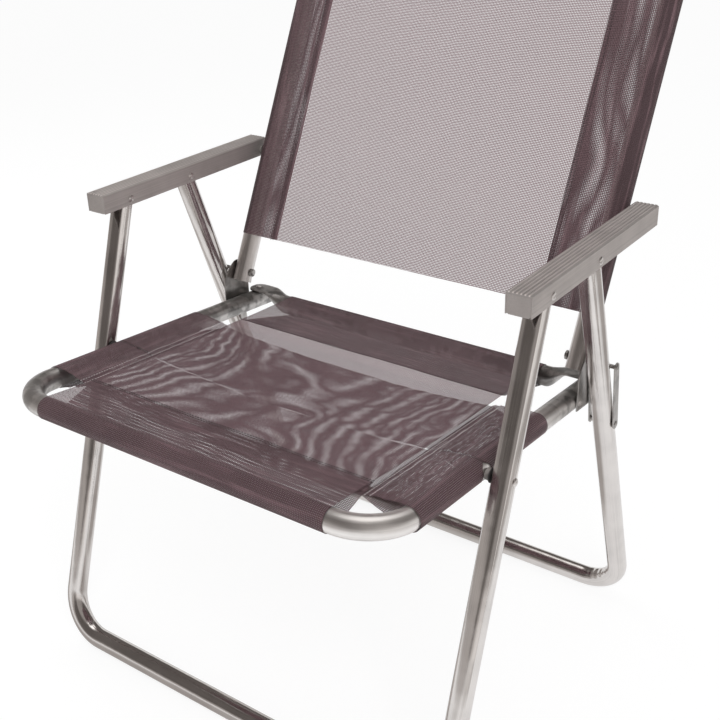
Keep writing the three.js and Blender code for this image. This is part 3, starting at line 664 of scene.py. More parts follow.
def rings_on_x(name, span, at, outer, frame_matrix, material):
    """A washer or spacer on each side, rounded at the rims: span is from x to x, at is (y, z)."""
    edge = 0.3
    sides = 40
    start, end = span
    y, z = at
    profile = (
        (RING_BORE, start), (outer - edge, start), (outer, start + edge),
        (outer, end - edge), (outer - edge, end), (RING_BORE, end))
    turns = [2 * math.pi * k / sides for k in range(sides)]
    work = bmesh.new()
    for s in SIDES:
        loops = [
            [work.verts.new((s * x, y + radius * math.cos(t), z + radius * math.sin(t))) for t in turns]
            for radius, x in profile
        ]
        bridge(work, loops + loops[:1])
    mesh = mesh_of(work, name, frame_matrix)
    sharpen(mesh, angle=35)
    return add_piece(name, mesh, material)


# Repeated shapes

class Tree:
    """A tree of geometry nodes with named inputs."""

    def __init__(self, name, **inputs):
        self.tree = bpy.data.node_groups.new(name, "GeometryNodeTree")
        self.sockets = {}
        kinds = {"shape": "NodeSocketGeometry", "finish": "NodeSocketMaterial"}
        for key in ("shape", *inputs):
            kind = kinds.get(key, "NodeSocketFloat")
            self.sockets[key] = self.tree.interface.new_socket(key, in_out="INPUT", socket_type=kind)
        self.tree.interface.new_socket("shape", in_out="OUTPUT", socket_type="NodeSocketGeometry")
        self.values = inputs
        self.source = self.tree.nodes.new("NodeGroupInput")

    def given(self, key):
        return self.source.outputs[key]

    def add(self, kind, values=None, **settings):
        node = self.tree.nodes.new(kind)
        for key, value in settings.items():
            setattr(node, key, value)
        for key, value in (values or {}).items():
            for one in value if isinstance(value, list) else [value]:
                if isinstance(one, bpy.types.NodeSocket):
                    self.tree.links.new(one, node.inputs[key])
                else:
                    node.inputs[key].default_value = one
        return node.outputs[0]

    def close(self, shape):
        real = self.add("GeometryNodeRealizeInstances", {0: shape})
        painted = self.add("GeometryNodeSetMaterial", {"Geometry": real, "Material": self.given("finish")})
        end = self.tree.nodes.new("NodeGroupOutput")
        self.tree.links.new(painted, end.inputs[0])

    def run(self, name, mesh):
        """Runs the tree on a mesh and returns a piece with the plain result."""
        piece = add_object(name, mesh)
        work = piece.modifiers.new(name, "NODES")
        work.node_group = self.tree
        for key, value in self.values.items():
            work[self.sockets[key].identifier] = value
        scene = bpy.context.evaluated_depsgraph_get()
        plain = bpy.data.meshes.new_from_object(piece.evaluated_get(scene))
        piece.modifiers.clear()
        piece.data = plain
        plain.name = name
        if not plain.polygons:
            raise RuntimeError(f"{name} came out empty")
        return piece


class Fasteners:
    """Heads and shanks of rivets and bolts, gathered for one body."""

    SEGMENTS = 28
    COLLAR = 1.04

    def __init__(self, name, frame_matrix):
        self.name = name
        self.turn = frame_matrix
        # Each row is a point, an axis, a size, and whether it is a domed head
        self.rows = []

    def put(self, at, axis, radius, height, dome):
        here = self.turn @ Vector(at)
        way = (self.turn.to_3x3() @ Vector(axis)).normalized()
        self.rows.append((here, way, (radius * MM, radius * MM, height * MM), dome))

    def heads(self, x, y, z, size, way=1):
        """A domed head on each side that faces outwards, or inwards with way -1."""
        for s in SIDES:
            self.put((s * x, y, z), (s * way, 0, 0), *size, True)

    def shanks(self, start, end, y, z, radius=SHANK):
        """A shank on each side, from x to x."""
        for s in SIDES:
            self.put((s * (start + end) / 2, y, z), (s, 0, 0), radius, end - start, False)

    def build(self, material):
        points, axes, scales, domes = zip(*self.rows)
        mesh = bpy.data.meshes.new(self.name)
        mesh.from_pydata(points, [], [])
        tree = Tree("Fasteners", finish=finish(material))
        given = []
        for key, kind, field, values in (
            ("axis", "FLOAT_VECTOR", "vector", axes),
            ("size", "FLOAT_VECTOR", "vector", scales),
            ("dome", "BOOLEAN", "value", domes),
        ):
            for item, value in zip(mesh.attributes.new(key, kind, "POINT").data, values):
                setattr(item, field, value)
            given.append(tree.add("GeometryNodeInputNamedAttribute", {"Name": key}, data_type=kind))
        axis, size, dome = given
        straight = tree.add("FunctionNodeBooleanMath", {0: dome}, operation="NOT")
        turn = tree.add("FunctionNodeAlignRotationToVector", {"Vector": axis}, axis="Z")
        around = {"Vertices": self.SEGMENTS}
        half_round = {"Segments": self.SEGMENTS, "Rings": self.SEGMENTS // 2, "Radius": 1.0}
        ball = tree.add("GeometryNodeMeshUVSphere", half_round)
        collar = tree.add("GeometryNodeMeshCylinder", {**around, "Radius": self.COLLAR, "Depth": 0.5})
        head = tree.add("GeometryNodeJoinGeometry", {0: [ball, collar]})
        bar = tree.add("GeometryNodeMeshCylinder", {**around, "Radius": 1.0, "Depth": 1.0})
        shared = {"Points": tree.given("shape"), "Rotation": turn, "Scale": size}
        placed = [
            tree.add("GeometryNodeInstanceOnPoints", {**shared, "Instance": shape, "Selection": chosen})
            for shape, chosen in ((head, dome), (bar, straight))
        ]
        tree.close(tree.add("GeometryNodeJoinGeometry", {0: placed}))
        piece = tree.run(self.name, mesh)
        sharpen(piece.data, angle=40)
        return piece


def stitches(name, rows, material, body):
    """Stitches along rows of points in the row frame, riding on a body."""
    points = [point for row in rows for point in row]
    edges = []
    start = 0
    for row in rows:
        edges += [(start + k, start + k + 1) for k in range(len(row) - 1)]
        start += len(row)
    mesh = bpy.data.meshes.new(name)
    mesh.from_pydata(points, edges, [])
    sizes = chair_sizes()
    tree = Tree(
        "Stitches", length=sizes.stitch_length, width=sizes.stitch_width, height=STITCH_HEIGHT,
        spacing=sizes.stitch_spacing, finish=finish(material))
    line = tree.add("GeometryNodeMeshToCurve", {"Mesh": tree.given("shape")})
    run = {"Curve": line, "Length": tree.given("spacing")}
    dots = tree.add("GeometryNodeCurveToPoints", run, mode="LENGTH")
    turn = tree.add("FunctionNodeAlignRotationToVector", {"Vector": dots.node.outputs["Tangent"]}, axis="X")
    ball = tree.add("GeometryNodeMeshUVSphere", {"Segments": 6, "Rings": 5, "Radius": 0.5})
    measures = {"X": tree.given("length"), "Y": tree.given("width"), "Z": tree.given("height")}
    scale = tree.add("ShaderNodeCombineXYZ", measures)
    spots = {"Points": dots, "Instance": ball, "Rotation": turn, "Scale": scale}
    tree.close(tree.add("GeometryNodeInstanceOnPoints", spots))
    piece = tree.run(name, mesh)
    piece.data.shade_smooth()
    settle(piece, body, "mesh_cloth")


# Cloth

class ClothLine:
    """The line that a strip of cloth follows in its section, in millimetres.
    Each point has a share of freedom, 0 where a tube holds the cloth,
    and a share by which the holes of the mesh are closed and its yarn darkened there, a painted shade."""

    STEP = 3.5
    WRAP_STEP = 1.6
    LEAST_STEP = 0.05
    EASE = 28

    def __init__(self, wrapped):
        self.wrapped = wrapped
        self.points = []
        self.free = []
        self.closed = []

    def add(self, point, free, closed):
        if self.points and (point - self.points[-1]).length < self.LEAST_STEP:
            return
        self.points.append(point)
        self.free.append(free)
        self.closed.append(closed)

    def line(self, start, end, closed, rise=0.0):
        """A run between two points that rises in its middle, or sags where rise is below 0."""
        reach = (end - start).length
        count = max(2, math.ceil(reach / self.STEP))
        for k in range(count + 1):
            t = k / count
            ease = min(1.0, min(t, 1 - t) * reach / self.EASE)
            self.add(start.lerp(end, t) + Vector((0, rise)) * 4 * t * (1 - t), ease, closed)

    def wrap(self, tube, start, end):
        """Round a tube between two angles, in degrees."""
        count = max(6, math.ceil(math.radians(abs(end - start)) * SLEEVE / self.WRAP_STEP))
        for point in arc(tube, SLEEVE, start, end, count):
            self.add(point, 0.0, self.wrapped)

    def reclose(self, low, high, old, new):
        """Gives the points from low to high that are closed by the old share the new one."""
        for i, point in enumerate(self.points):
            if self.closed[i] == old and low < point.x < high:
                self.closed[i] = new


def touch_angle(tube, outside, way):
    """Where a line from a point outside meets the sleeve round a tube, in degrees."""
    reach = outside - tube
    return math.degrees(math.atan2(reach.y, reach.x) + way * math.acos(SLEEVE / reach.length))


def on_sleeve(tube, angle):
    return arc(tube, SLEEVE, angle, angle, 1)[0]


def crumple(x, y, z):
    return noise.noise(Vector((x, y, z)))


def share_passed(value, low, high):
    return max(0.0, min(1.0, (value - low) / (high - low)))


def smooth_share(value, low, high):
    t = share_passed(value, low, high)
    return t * t * (3 - 2 * t)


def soft_crease(along, w, point, seed):
    """Long shallow waves of a stretched sheet."""
    wide = crumple(along / 110, w / 85, seed)
    narrow = crumple(along / 45, w / 38, seed + 3)
    return 1.3 * wide + 0.45 * narrow


def side_crease(along, w, point, seed):
    """A cross sling: shallow waves in the middle, crumpled flaps beside the tubes."""
    flap_start, flap_full = 196, 210
    beside = share_passed(abs(point.x), flap_start, flap_full)
    small = crumple(along / 9, w / 14, seed + 7) + 0.6 * crumple(along / 5, w / 8, seed + 8)
    return soft_crease(along, w, point, seed) * (1 - 0.5 * beside) + 2.0 * beside * small


@dataclass
class Strip:
    """A strip of cloth: a line drawn out across its width, creased and mapped in metres.
    The axes say which of line x, line y and width go to X, Y and Z of the body's frame.
    A streak is the size of the slight shifts of the map, along and across."""

    name: str
    line: ClothLine
    edges: tuple
    axes: tuple
    frame_matrix: Matrix
    crease: object
    streak: tuple
    seed: float
    trim: object = None

    def __post_init__(self):
        spacing = 4
        self.lengths = passed_lengths(self.line.points)
        self.columns = math.ceil((self.edges[1] - self.edges[0]) / spacing) + 1

    @property
    def flat(self):
        """Width and length of the flat sheet, in metres."""
        return ((self.edges[1] - self.edges[0]) * MM, self.lengths[-1] * MM)

    def normal(self, i):
        points = self.line.points
        run = (points[min(len(points) - 1, i + 1)] - points[max(0, i - 1)]).normalized()
        return Vector((-run.y, run.x))

    def across(self, i):
        """Places across the strip, from edge to edge, at point i of its line."""
        low, high = self.trim(self.line.points[i]) if self.trim else self.edges
        return [low + (high - low) * k / (self.columns - 1) for k in range(self.columns)]

    def at(self, i, w):
        """A point of the strip in the row frame."""
        point = self.line.points[i]
        move = self.line.free[i] * self.crease(self.lengths[i], w, point, self.seed)
        spot = (*(point + self.normal(i) * move), w)
        return self.frame_matrix @ Vector([spot[k] for k in self.axes])

    def row(self, i, lift):
        """A row of points across the strip, lifted off it, in the row frame."""
        return [self.at(i, w) + Vector(lift) for w in self.across(i)]

    def map(self, i, w):
        """A point's place on the flat sheet, slightly shifted."""
        along = self.lengths[i]
        drift, pull = 1.6, 0.45
        slip = drift * crumple(along / 150, w / 150, self.seed + 5)
        slide = drift * crumple(along / 170, w / 130, self.seed + 9)
        streak = pull * crumple(along / self.streak[0], w / self.streak[1], self.seed + 13)
        return (along + slip + streak) * MM, (w - self.edges[0] + slide + streak) * MM

    def build(self):
        rows = range(len(self.line.points))
        places = [(i, w) for i in rows for w in self.across(i)]
        width = self.columns
        starts = [i * width + k for i in rows[:-1] for k in range(width - 1)]
        mesh = bpy.data.meshes.new(self.name)
        mesh.from_pydata(
            [self.at(*place) for place in places], [], [(a, a + 1, a + width + 1, a + width) for a in starts])
        maps = [self.map(*place) for place in places]
        paint_map(mesh, [maps[loop.vertex_index] for loop in mesh.loops])
        closed = mesh.attributes.new("closed", "FLOAT", "POINT")
        for (i, _), item in zip(places, closed.data):
            item.value = self.line.closed[i]
        mesh.shade_smooth()
        return add_piece(self.name, mesh, "open_mesh")


def lay(strip, body, node, thickness=0.0):
    """Builds a strip as a stretched sheet that rides on a body."""
    piece = strip.build()
    if thickness:
        wall = piece.modifiers.new("Yarn thickness", "SOLIDIFY")
        wall.thickness = thickness
        wall.offset = 0.0
    settle(piece, body, "mesh_cloth", node)


# Operators

class ChairOperator:
    """What the operators share."""

    bl_options = {"REGISTER"}

    def execute(self, context):
        self.make()
        return {"FINISHED"}


class CHAIR_OT_legs(ChairOperator, bpy.types.Operator):
    """Both leg frames, with the washers and rivets of the seat pivots"""
    bl_idname = "chair.legs"
    bl_label = "Leg frames"

    def make(self):
        for end, top, foot, matrix, crease in (
            ("front", FRONT_PIN, FRONT_BAR, FRONT_LEGS, 0.0),
            ("rear", REAR_PIN, REAR_BAR, REAR_LEGS, chair_sizes().crease_depth / MM),
        ):
            corners = u_corners(LEG_X, END_ROUND, -(top - foot).length, (0, 0, 1))
            name = f"{end}_leg_tube"
            piece = bent_tube(name, corners, FRAME_BEND, matrix, "polished_tube", crease, round_top=True)
            settle(piece, f"{end}_legs", "aluminium", f"{end}_leg_frame")
        at = (0, -PIVOT_DROP)
        washers = rings_on_x("pivot_washers", PIVOT_WASHER, at, WASHER_RADIUS, FRONT_LEGS, "dark_washer")
        settle(washers, "front_legs", "steel", *both("seat_pivot_washer"))
        rivets = Fasteners("pivot_rivets", FRONT_LEGS)
        outside = LEG_X + TUBE_RADIUS
        rivets.shanks(PIVOT_WASHER[0], outside + 0.3, *at)
        rivets.heads(outside, *at, RIVET)
        settle(rivets.build("rivet_metal"), "front_legs", "aluminium", *both("seat_pivot_rivet"))


class CHAIR_OT_armrests(ChairOperator, bpy.types.Operator):
    """Both ribbed armrests with their end caps and leg rivets"""
    bl_idname = "chair.armrests"
    bl_label = "Armrests"
    HALF = ARM_WIDTH / 2
    CAP_TOP = -2.4
    CAP_THICKNESS = 2

    def section(self):
        """The outline of a channel, about the middle of its top."""
        half, corner, low = self.HALF, ARM_CORNER, -ARM_HEIGHT
        inside = half - ARM_WALL
        rib = chair_sizes().rib_height / MM
        rib_steps, corner_steps = 8, 5
        points = [Vector((half, low))]
        points += arc(Vector((half - corner, -rib - corner)), corner, 0, 90, corner_steps)
        for i in range(chair_sizes().rib_count * rib_steps + 1):
            swell = abs(math.sin(math.pi * i / rib_steps)) ** 0.5
            points.append(Vector((half - corner - rib_pitch() * i / rib_steps, -rib + rib * swell)))
        points += arc(Vector((corner - half, -rib - corner)), corner, 90, 180, corner_steps)
        under = -rib - ARM_WALL
        hollow = ((-half, low), (-inside, low), (-inside, under), (inside, under), (inside, low))
        points += [Vector(each) for each in hollow]
        return [p for p, q in zip(points, points[1:] + points[:1]) if (p - q).length > 1e-4]

    def caps(self):
        clear, inset, cut = 0.08, 0.1, 2
        half = self.HALF - ARM_WALL - clear
        top, low = self.CAP_TOP, -ARM_HEIGHT
        outline = (
            (half, top), (-half, top), (-half, low + cut),
            (cut - half, low), (half - cut, low), (half, low + cut))
        work = bmesh.new()
        for s in SIDES:
            for y in (ARM_FRONT + inset, ARM_REAR - inset - self.CAP_THICKNESS):
                span = (y, y + self.CAP_THICKNESS)
                slab(work, *([(s * LEG_X + x, depth, z) for x, z in outline] for depth in span))
        caps = add_piece("armrest_caps", mesh_of(work, "armrest_caps", ARMS), "ribbed_channel")
        bevel(caps, 0.2 * MM)
        settle(caps, "armrests", "aluminium", *both("armrest_front_cap", "armrest_rear_cap"))

    def make(self):
        section = self.section()
        for s, side in zip(SIDES, ("left", "right")):
            name = f"armrest_channel_{side}"
            rings = [[Vector((s * LEG_X + p.x, y, p.y)) for p in section] for y in (ARM_FRONT, ARM_REAR)]
            mesh = loft(name, rings, [ARM_FRONT * MM, ARM_REAR * MM], ARMS, sharp=38)
            piece = add_piece(name, mesh, "ribbed_channel")
            bevel(piece, 0.3 * MM, segments=2)
            settle(piece, "armrests", "aluminium", f"armrest_{side}")
        self.caps()
        rivets = Fasteners("armrest_rivets", ARMS)
        for pin in (FRONT_PIN, REAR_PIN):
            at = (pin.x, pin.y - ARM_TOP_Z)
            for way in SIDES:
                rivets.heads(LEG_X + way * self.HALF, *at, RIVET, way)
            rivets.shanks(LEG_X - self.HALF, LEG_X + self.HALF, *at)
        nodes = both("front_leg_rivet", "rear_leg_rivet")
        settle(rivets.build("rivet_metal"), "armrests", "aluminium", *nodes)


class CHAIR_OT_seat_frame(ChairOperator, bpy.types.Operator):
    """The seat tube and its rear rail with flattened ends"""
    bl_idname = "chair.seat_frame"
    bl_label = "Seat frame"
    TIP = INNER_X + 10
    ROUND_LENGTH = 10
    FLAT_LENGTH = 29
    TAPER = 32
    WIDTH = 30
    THICKNESS = 3.2
    WALL = 1.2
    SLIT_DEPTH = 8

    def shapes(self):
        """Places along the rail: each is x, a share of flatness and a share of width."""
        taper_steps, tip_steps, widest = 16, 12, math.pi / 3
        half = []
        for k in range(taper_steps + 1):
            share = k / taper_steps
            x = self.TIP - self.FLAT_LENGTH - (1 - share) * self.TAPER
            half.append((x, smooth_share(share, 0, 1), 1.0))
        for k in range(tip_steps + 1):
            turn = k / tip_steps * widest
            x = self.TIP - self.ROUND_LENGTH * (1 - math.sin(turn) / math.sin(widest))
            half.append((x, 1.0, math.cos(turn)))
        return [(-x, flat, wide) for x, flat, wide in half[::-1]] + half

    def ring(self, x, flat, wide, inset=0.0):
        """A section of the rail: round, flat or between."""
        sides = chair_sizes().tube_sides
        half_y = ((1 - flat) * TUBE_RADIUS + flat * self.WIDTH / 2) * wide - inset
        half_z = (1 - flat) * TUBE_RADIUS + flat * self.THICKNESS / 2 - inset
        level = flat * (TUBE_FLAT + 0.3 + self.THICKNESS / 2)
        power = 1 - 0.5 * flat
        points = []
        for k in range(sides):
            t = 2 * math.pi * (k + 0.5) / sides
            c, s = math.cos(t), math.sin(t)
            y = half_y * math.copysign(abs(c) ** power, c)
            z = half_z * math.copysign(abs(s) ** power, s)
            points.append(Vector((x, RAIL_ALONG + y, level + z)))
        return points

    def slit(self, shape, way):
        """The two rings of an open end, at its mouth and deep inside."""
        x, *flat_wide = shape
        return [self.ring(place, *flat_wide, self.WALL) for place in (x, x + way * self.SLIT_DEPTH)]

    def make(self):
        corners = u_corners(INNER_X, SEAT_END, 0, (0, 1, 0))
        tube = bent_tube("seat_tube", corners, FRAME_BEND, SEAT, "stained_tube")
        settle(tube, "seat", "aluminium", "seat_frame")
        shapes = self.shapes()
        first, last = shapes[0], shapes[-1]
        rings = self.slit(first, 1)[::-1] + [self.ring(*shape) for shape in shapes] + self.slit(last, -1)
        along = [shape[0] * MM for shape in (first, first, *shapes, last, last)]
        rail = add_piece("seat_rail", loft("seat_rail", rings, along, SEAT, sharp=50), "stained_tube")
        settle(rail, "seat", "aluminium", "seat_rear_rail")


class CHAIR_OT_hinges(ChairOperator, bpy.types.Operator):
    """Hinge plates, pivot spacers and the seat's rivets and bolts"""
    bl_idname = "chair.hinges"
    bl_label = "Hinges"
    PLATE_RIVET = (4.0, 0.6)
    RIVET_SHIFTS = (-17, 12)
    BOLT_HEAD = (5.3, 2.0)
    BOLT_COLLAR = 5.5
    COLLAR_LENGTH = 2.6

    def outline(self):
        """A plate about its bolt: a foot along the side bar, a round top and a bulge in front."""
        front, rear, shoulder, below, top_radius = -28, 21, -22, 9, 14
        slope = math.tan(SEAT_TILT)
        drop = HINGE.y - (SEAT_FRONT.y - (HINGE.x - SEAT_FRONT.x) * slope)
        foot = [Vector((y, -drop - y * slope - below)) for y in (front, rear)]
        top = arc(Vector((0, 0)), top_radius, 12, 117, 18)
        steps = 12
        bulge = []
        for k in range(1, steps + 1):
            t = k / steps
            pull = Vector((front, 0)) * 2 * t * (1 - t)
            bulge.append(top[-1] * (1 - t) ** 2 + pull + Vector((front, shoulder)) * t * t)
        return [*foot, Vector((rear, shoulder)), *top, *bulge]

    def make(self):
        piece = plates("hinge_plates", self.outline(), [PLATE_X], HINGES, "pressed_steel", 0.5 * MM)
        settle(piece, "seat", "steel", *both("hinge_plate"))
        spacers = rings_on_x(
            "pivot_spacers", PIVOT_SPACER, (PIVOT_ALONG, 0), SPACER_RADIUS, SEAT, "moulded_nylon")
        settle(spacers, "seat", "nylon", *both("seat_pivot_spacer"))
        rivets = Fasteners("seat_rivets", SEAT)
        up, low, high = (0, 0, 1), 8, 16
        rail_top = TUBE_FLAT + 3.5
        for s in SIDES:
            rivets.put((s * INNER_X, RAIL_ALONG, rail_top), up, *RIVET, True)
            rivets.put((s * INNER_X, RAIL_ALONG, (low + high) / 2), up, SHANK, high - low, False)
        for shift in self.RIVET_SHIFTS:
            along = HINGE_ALONG + shift
            rivets.shanks(INNER_X + 9, INNER_X + 14.6, along, 0)
            rivets.heads(PLATE_X + PLATE_THICKNESS - 0.2, along, 0, self.PLATE_RIVET)
        nodes = both("corner_rivet", "plate_rivet_front", "plate_rivet_rear")
        settle(rivets.build("rivet_metal"), "seat", "aluminium", *nodes)
        bolts = Fasteners("hinge_bolts", HINGES)
        inner = INNER_X - TUBE_RADIUS - 0.2
        outer = OUTER_LINK_X + PLATE_THICKNESS + 0.2
        bolts.shanks(inner, outer, 0, 0)
        bolts.shanks(inner - self.COLLAR_LENGTH, inner, 0, 0, self.BOLT_COLLAR)
        bolts.heads(inner - self.COLLAR_LENGTH + 0.2, 0, 0, self.BOLT_HEAD, -1)
        bolts.heads(outer, 0, 0, TAIL)
        settle(bolts.build("pressed_steel"), "seat", "steel", *both("hinge_bolt"))


class CHAIR_OT_links(ChairOperator, bpy.types.Operator):
    """The straps between hinge bolts and rear legs, with their pins"""
    bl_idname = "chair.links"
    bl_label = "Links"

    def make(self):
        half, steps = 6, 20
        outline = arc(Vector((0, 0)), half, 0, 180, steps)
        outline += arc(Vector((0, -LINK_REACH)), half, 180, 360, steps)
        starts = (INNER_LINK_X, OUTER_LINK_X)
        straps = plates("link_straps", outline, starts, LINKS, "pressed_steel", 0.4 * MM)
        settle(straps, "links", "steel", *both("link_inner", "link_outer"))
        pins = Fasteners("link_pins", LINKS)
        at = (0, -LINK_REACH)
        clear = TUBE_RADIUS + 0.3
        end = OUTER_LINK_X + PLATE_THICKNESS
        pins.shanks(INNER_LINK_X, LEG_X - clear, *at)
        pins.shanks(LEG_X + clear, end, *at)
        pins.heads(end, *at, TAIL)
        settle(pins.build("pressed_steel"), "links", "steel", *both("link_pin_inner", "link_pin_outer"))


class CHAIR_OT_back_frame(ChairOperator, bpy.types.Operator):
    """The back tube with the rivets and spacers of the armrest pivots"""
    bl_idname = "chair.back_frame"
    bl_label = "Back frame"

    def make(self):
        corners = u_corners(INNER_X, BACK_FOOT, BACK_LENGTH, (0, 0, 1))
        tube = bent_tube("back_tube", corners, BACK_BEND, BACK, "satin_tube")
        settle(tube, "back", "aluminium", "back_frame")
        at = (0, BACK_PIN_RISE)
        spacers = rings_on_x("armrest_spacers", ARM_SPACER, at, SPACER_RADIUS, BACK, "moulded_nylon")
        settle(spacers, "back", "nylon", *both("armrest_pivot_spacer"))
        rivets = Fasteners("armrest_pivot_rivets", BACK)
        end = 275.3
        rivets.shanks(INNER_X + 10, end, *at)
        rivets.heads(end, *at, RIVET)
        settle(rivets.build("rivet_metal"), "back", "aluminium", *both("armrest_pivot_rivet"))


class CHAIR_OT_seat_slings(ChairOperator, bpy.types.Operator):
    """The long sling over two cross slings, with their seams"""
    bl_idname = "chair.seat_slings"
    bl_label = "Seat slings"
    # Outer edges of the cross slings, and how far the front one lies askew at a side bar
    CROSS_FRONT = 54.5
    CROSS_REAR = RAIL_ALONG - 129
    SKEW = 8.5
    # How far the mesh is closed, which also darkens its yarn as painted shade: in a flap, over a cross sling,
    # over a flap and round a tube
    FLAP = 0.13
    SHEET = 0.016
    BACKED = 0.05
    WRAPPED = 0.35

    def long_line(self, front_seam, rear_seam):
        """From a seam round the front bar, over the seat and round the rear rail to the other seam."""
        sag = chair_sizes().long_sag / MM
        front, rear = Vector((0, 0)), Vector((RAIL_ALONG, 0))

        def sewn(along):
            """A place on a seam, just below the sheet."""
            t, below = along / RAIL_ALONG, 1.6
            return Vector((along, SLEEVE - 4 * sag * t * (1 - t) - below))

        start, end = sewn(front_seam), sewn(rear_seam)
        low = touch_angle(front, start, -1)
        line = ClothLine(self.WRAPPED)
        line.line(start, on_sleeve(front, low), self.FLAP)
        line.wrap(front, low, -270)
        line.line(Vector((0, SLEEVE)), Vector((RAIL_ALONG, SLEEVE)), self.SHEET, -sag)
        line.wrap(rear, 90, touch_angle(rear, end, 1) - 360)
        line.reclose(-1, front_seam, self.SHEET, self.BACKED)
        line.reclose(self.CROSS_REAR, rear_seam, self.SHEET, 0.0)
        line.reclose(rear_seam, RAIL_ALONG + 1, self.SHEET, self.BACKED)
        line.line(line.points[-1], end, self.FLAP)
        return line

    def cross_line(self):
        """From a seam over and round the left bar, across, and round and over the right bar."""
        sizes = chair_sizes()
        seam = sizes.cross_seam / MM
        level, lap = 5.0, Vector((0, 1.5))
        left, right = Vector((INNER_X, 0)), Vector((-INNER_X, 0))
        sewn_left, sewn_right = Vector((seam, level)), Vector((-seam, level))
        start, end = sewn_left + lap, sewn_right + lap
        upper = touch_angle(left, start, -1)
        lower = touch_angle(right, sewn_right, -1)
        line = ClothLine(self.WRAPPED)
        line.line(start, on_sleeve(left, upper), self.FLAP, lap.y)
        line.wrap(left, upper, touch_angle(left, sewn_left, 1) - 360)
        line.line(line.points[-1], sewn_left, self.FLAP)
        line.line(sewn_left, sewn_right, self.SHEET, -sizes.cross_sag / MM)
        line.line(sewn_right, on_sleeve(right, lower), self.FLAP)
        line.wrap(right, lower, touch_angle(right, end, 1) - 360)
        line.line(line.points[-1], end, self.FLAP, lap.y)
        return line

    def parting(self, point):
        """Half the gap between the cross slings: a slit with frayed edges that opens round the pivots."""
        x, seam = abs(point.x), chair_sizes().cross_seam / MM
        past = smooth_share(x, INNER_X + 7, INNER_X + 12.4)
        near_seam = smooth_share(x, 60, 150) * (1 - smooth_share(x, seam - 6, seam))
        slit, opening = 0.4, 7
        frayed = 0.8 + 0.7 * crumple(point.x / 25, point.y / 25, 41.0)
        return slit + frayed * near_seam + opening * past

    def front_edges(self, point):
        return self.CROSS_FRONT - self.SKEW * point.x / INNER_X, PIVOT_ALONG - self.parting(point)

    def rear_edges(self, point):
        return PIVOT_ALONG + self.parting(point), self.CROSS_REAR

    def make(self):
        sizes = chair_sizes()
        half = sizes.long_half / MM
        front, rear = sizes.front_flap / MM, RAIL_ALONG - sizes.rear_flap / MM
        line = self.long_line(front, rear)
        strip = Strip(
            "long_sling", line, (-half, half), axes=(2, 0, 1), frame_matrix=SEAT,
            crease=soft_crease, streak=(12, 120), seed=2.0)
        lay(strip, "seat", "seat_sling_long", sizes.yarn_thickness)
        upper = [i for i, p in enumerate(line.points) if p.y > SLEEVE - 6.5 and line.free[i] > 0]
        end_rows = []
        for along in (front - 2, front + 2.5, rear + 2, rear - 2.5):
            i = min(upper, key=lambda k: abs(line.points[k].x - along))
            end_rows.append(strip.row(i, (0, 0, 0.0003)))
        side_rows = []
        gap = 1.4
        for end, edges, seed, trim in (
            ("front", (self.CROSS_FRONT, PIVOT_ALONG - gap), 11.0, self.front_edges),
            ("rear", (PIVOT_ALONG + gap, self.CROSS_REAR), 17.0, self.rear_edges),
        ):
            strip = Strip(
                f"{end}_cross_sling", self.cross_line(), edges, axes=(0, 2, 1), frame_matrix=SEAT,
                crease=side_crease, streak=(120, 12), seed=seed, trim=trim)
            lay(strip, "seat", f"seat_sling_cross_{end}", sizes.yarn_thickness)
            last = len(strip.line.points) - 1
            side_rows += [strip.row(i, (0, 0, 0.0004)) for i in (1, 3, last - 1, last - 3)]
        stitches("seat_side_stitches", side_rows, "seat_thread", "seat")
        stitches("seat_end_stitches", end_rows, "back_thread", "seat")


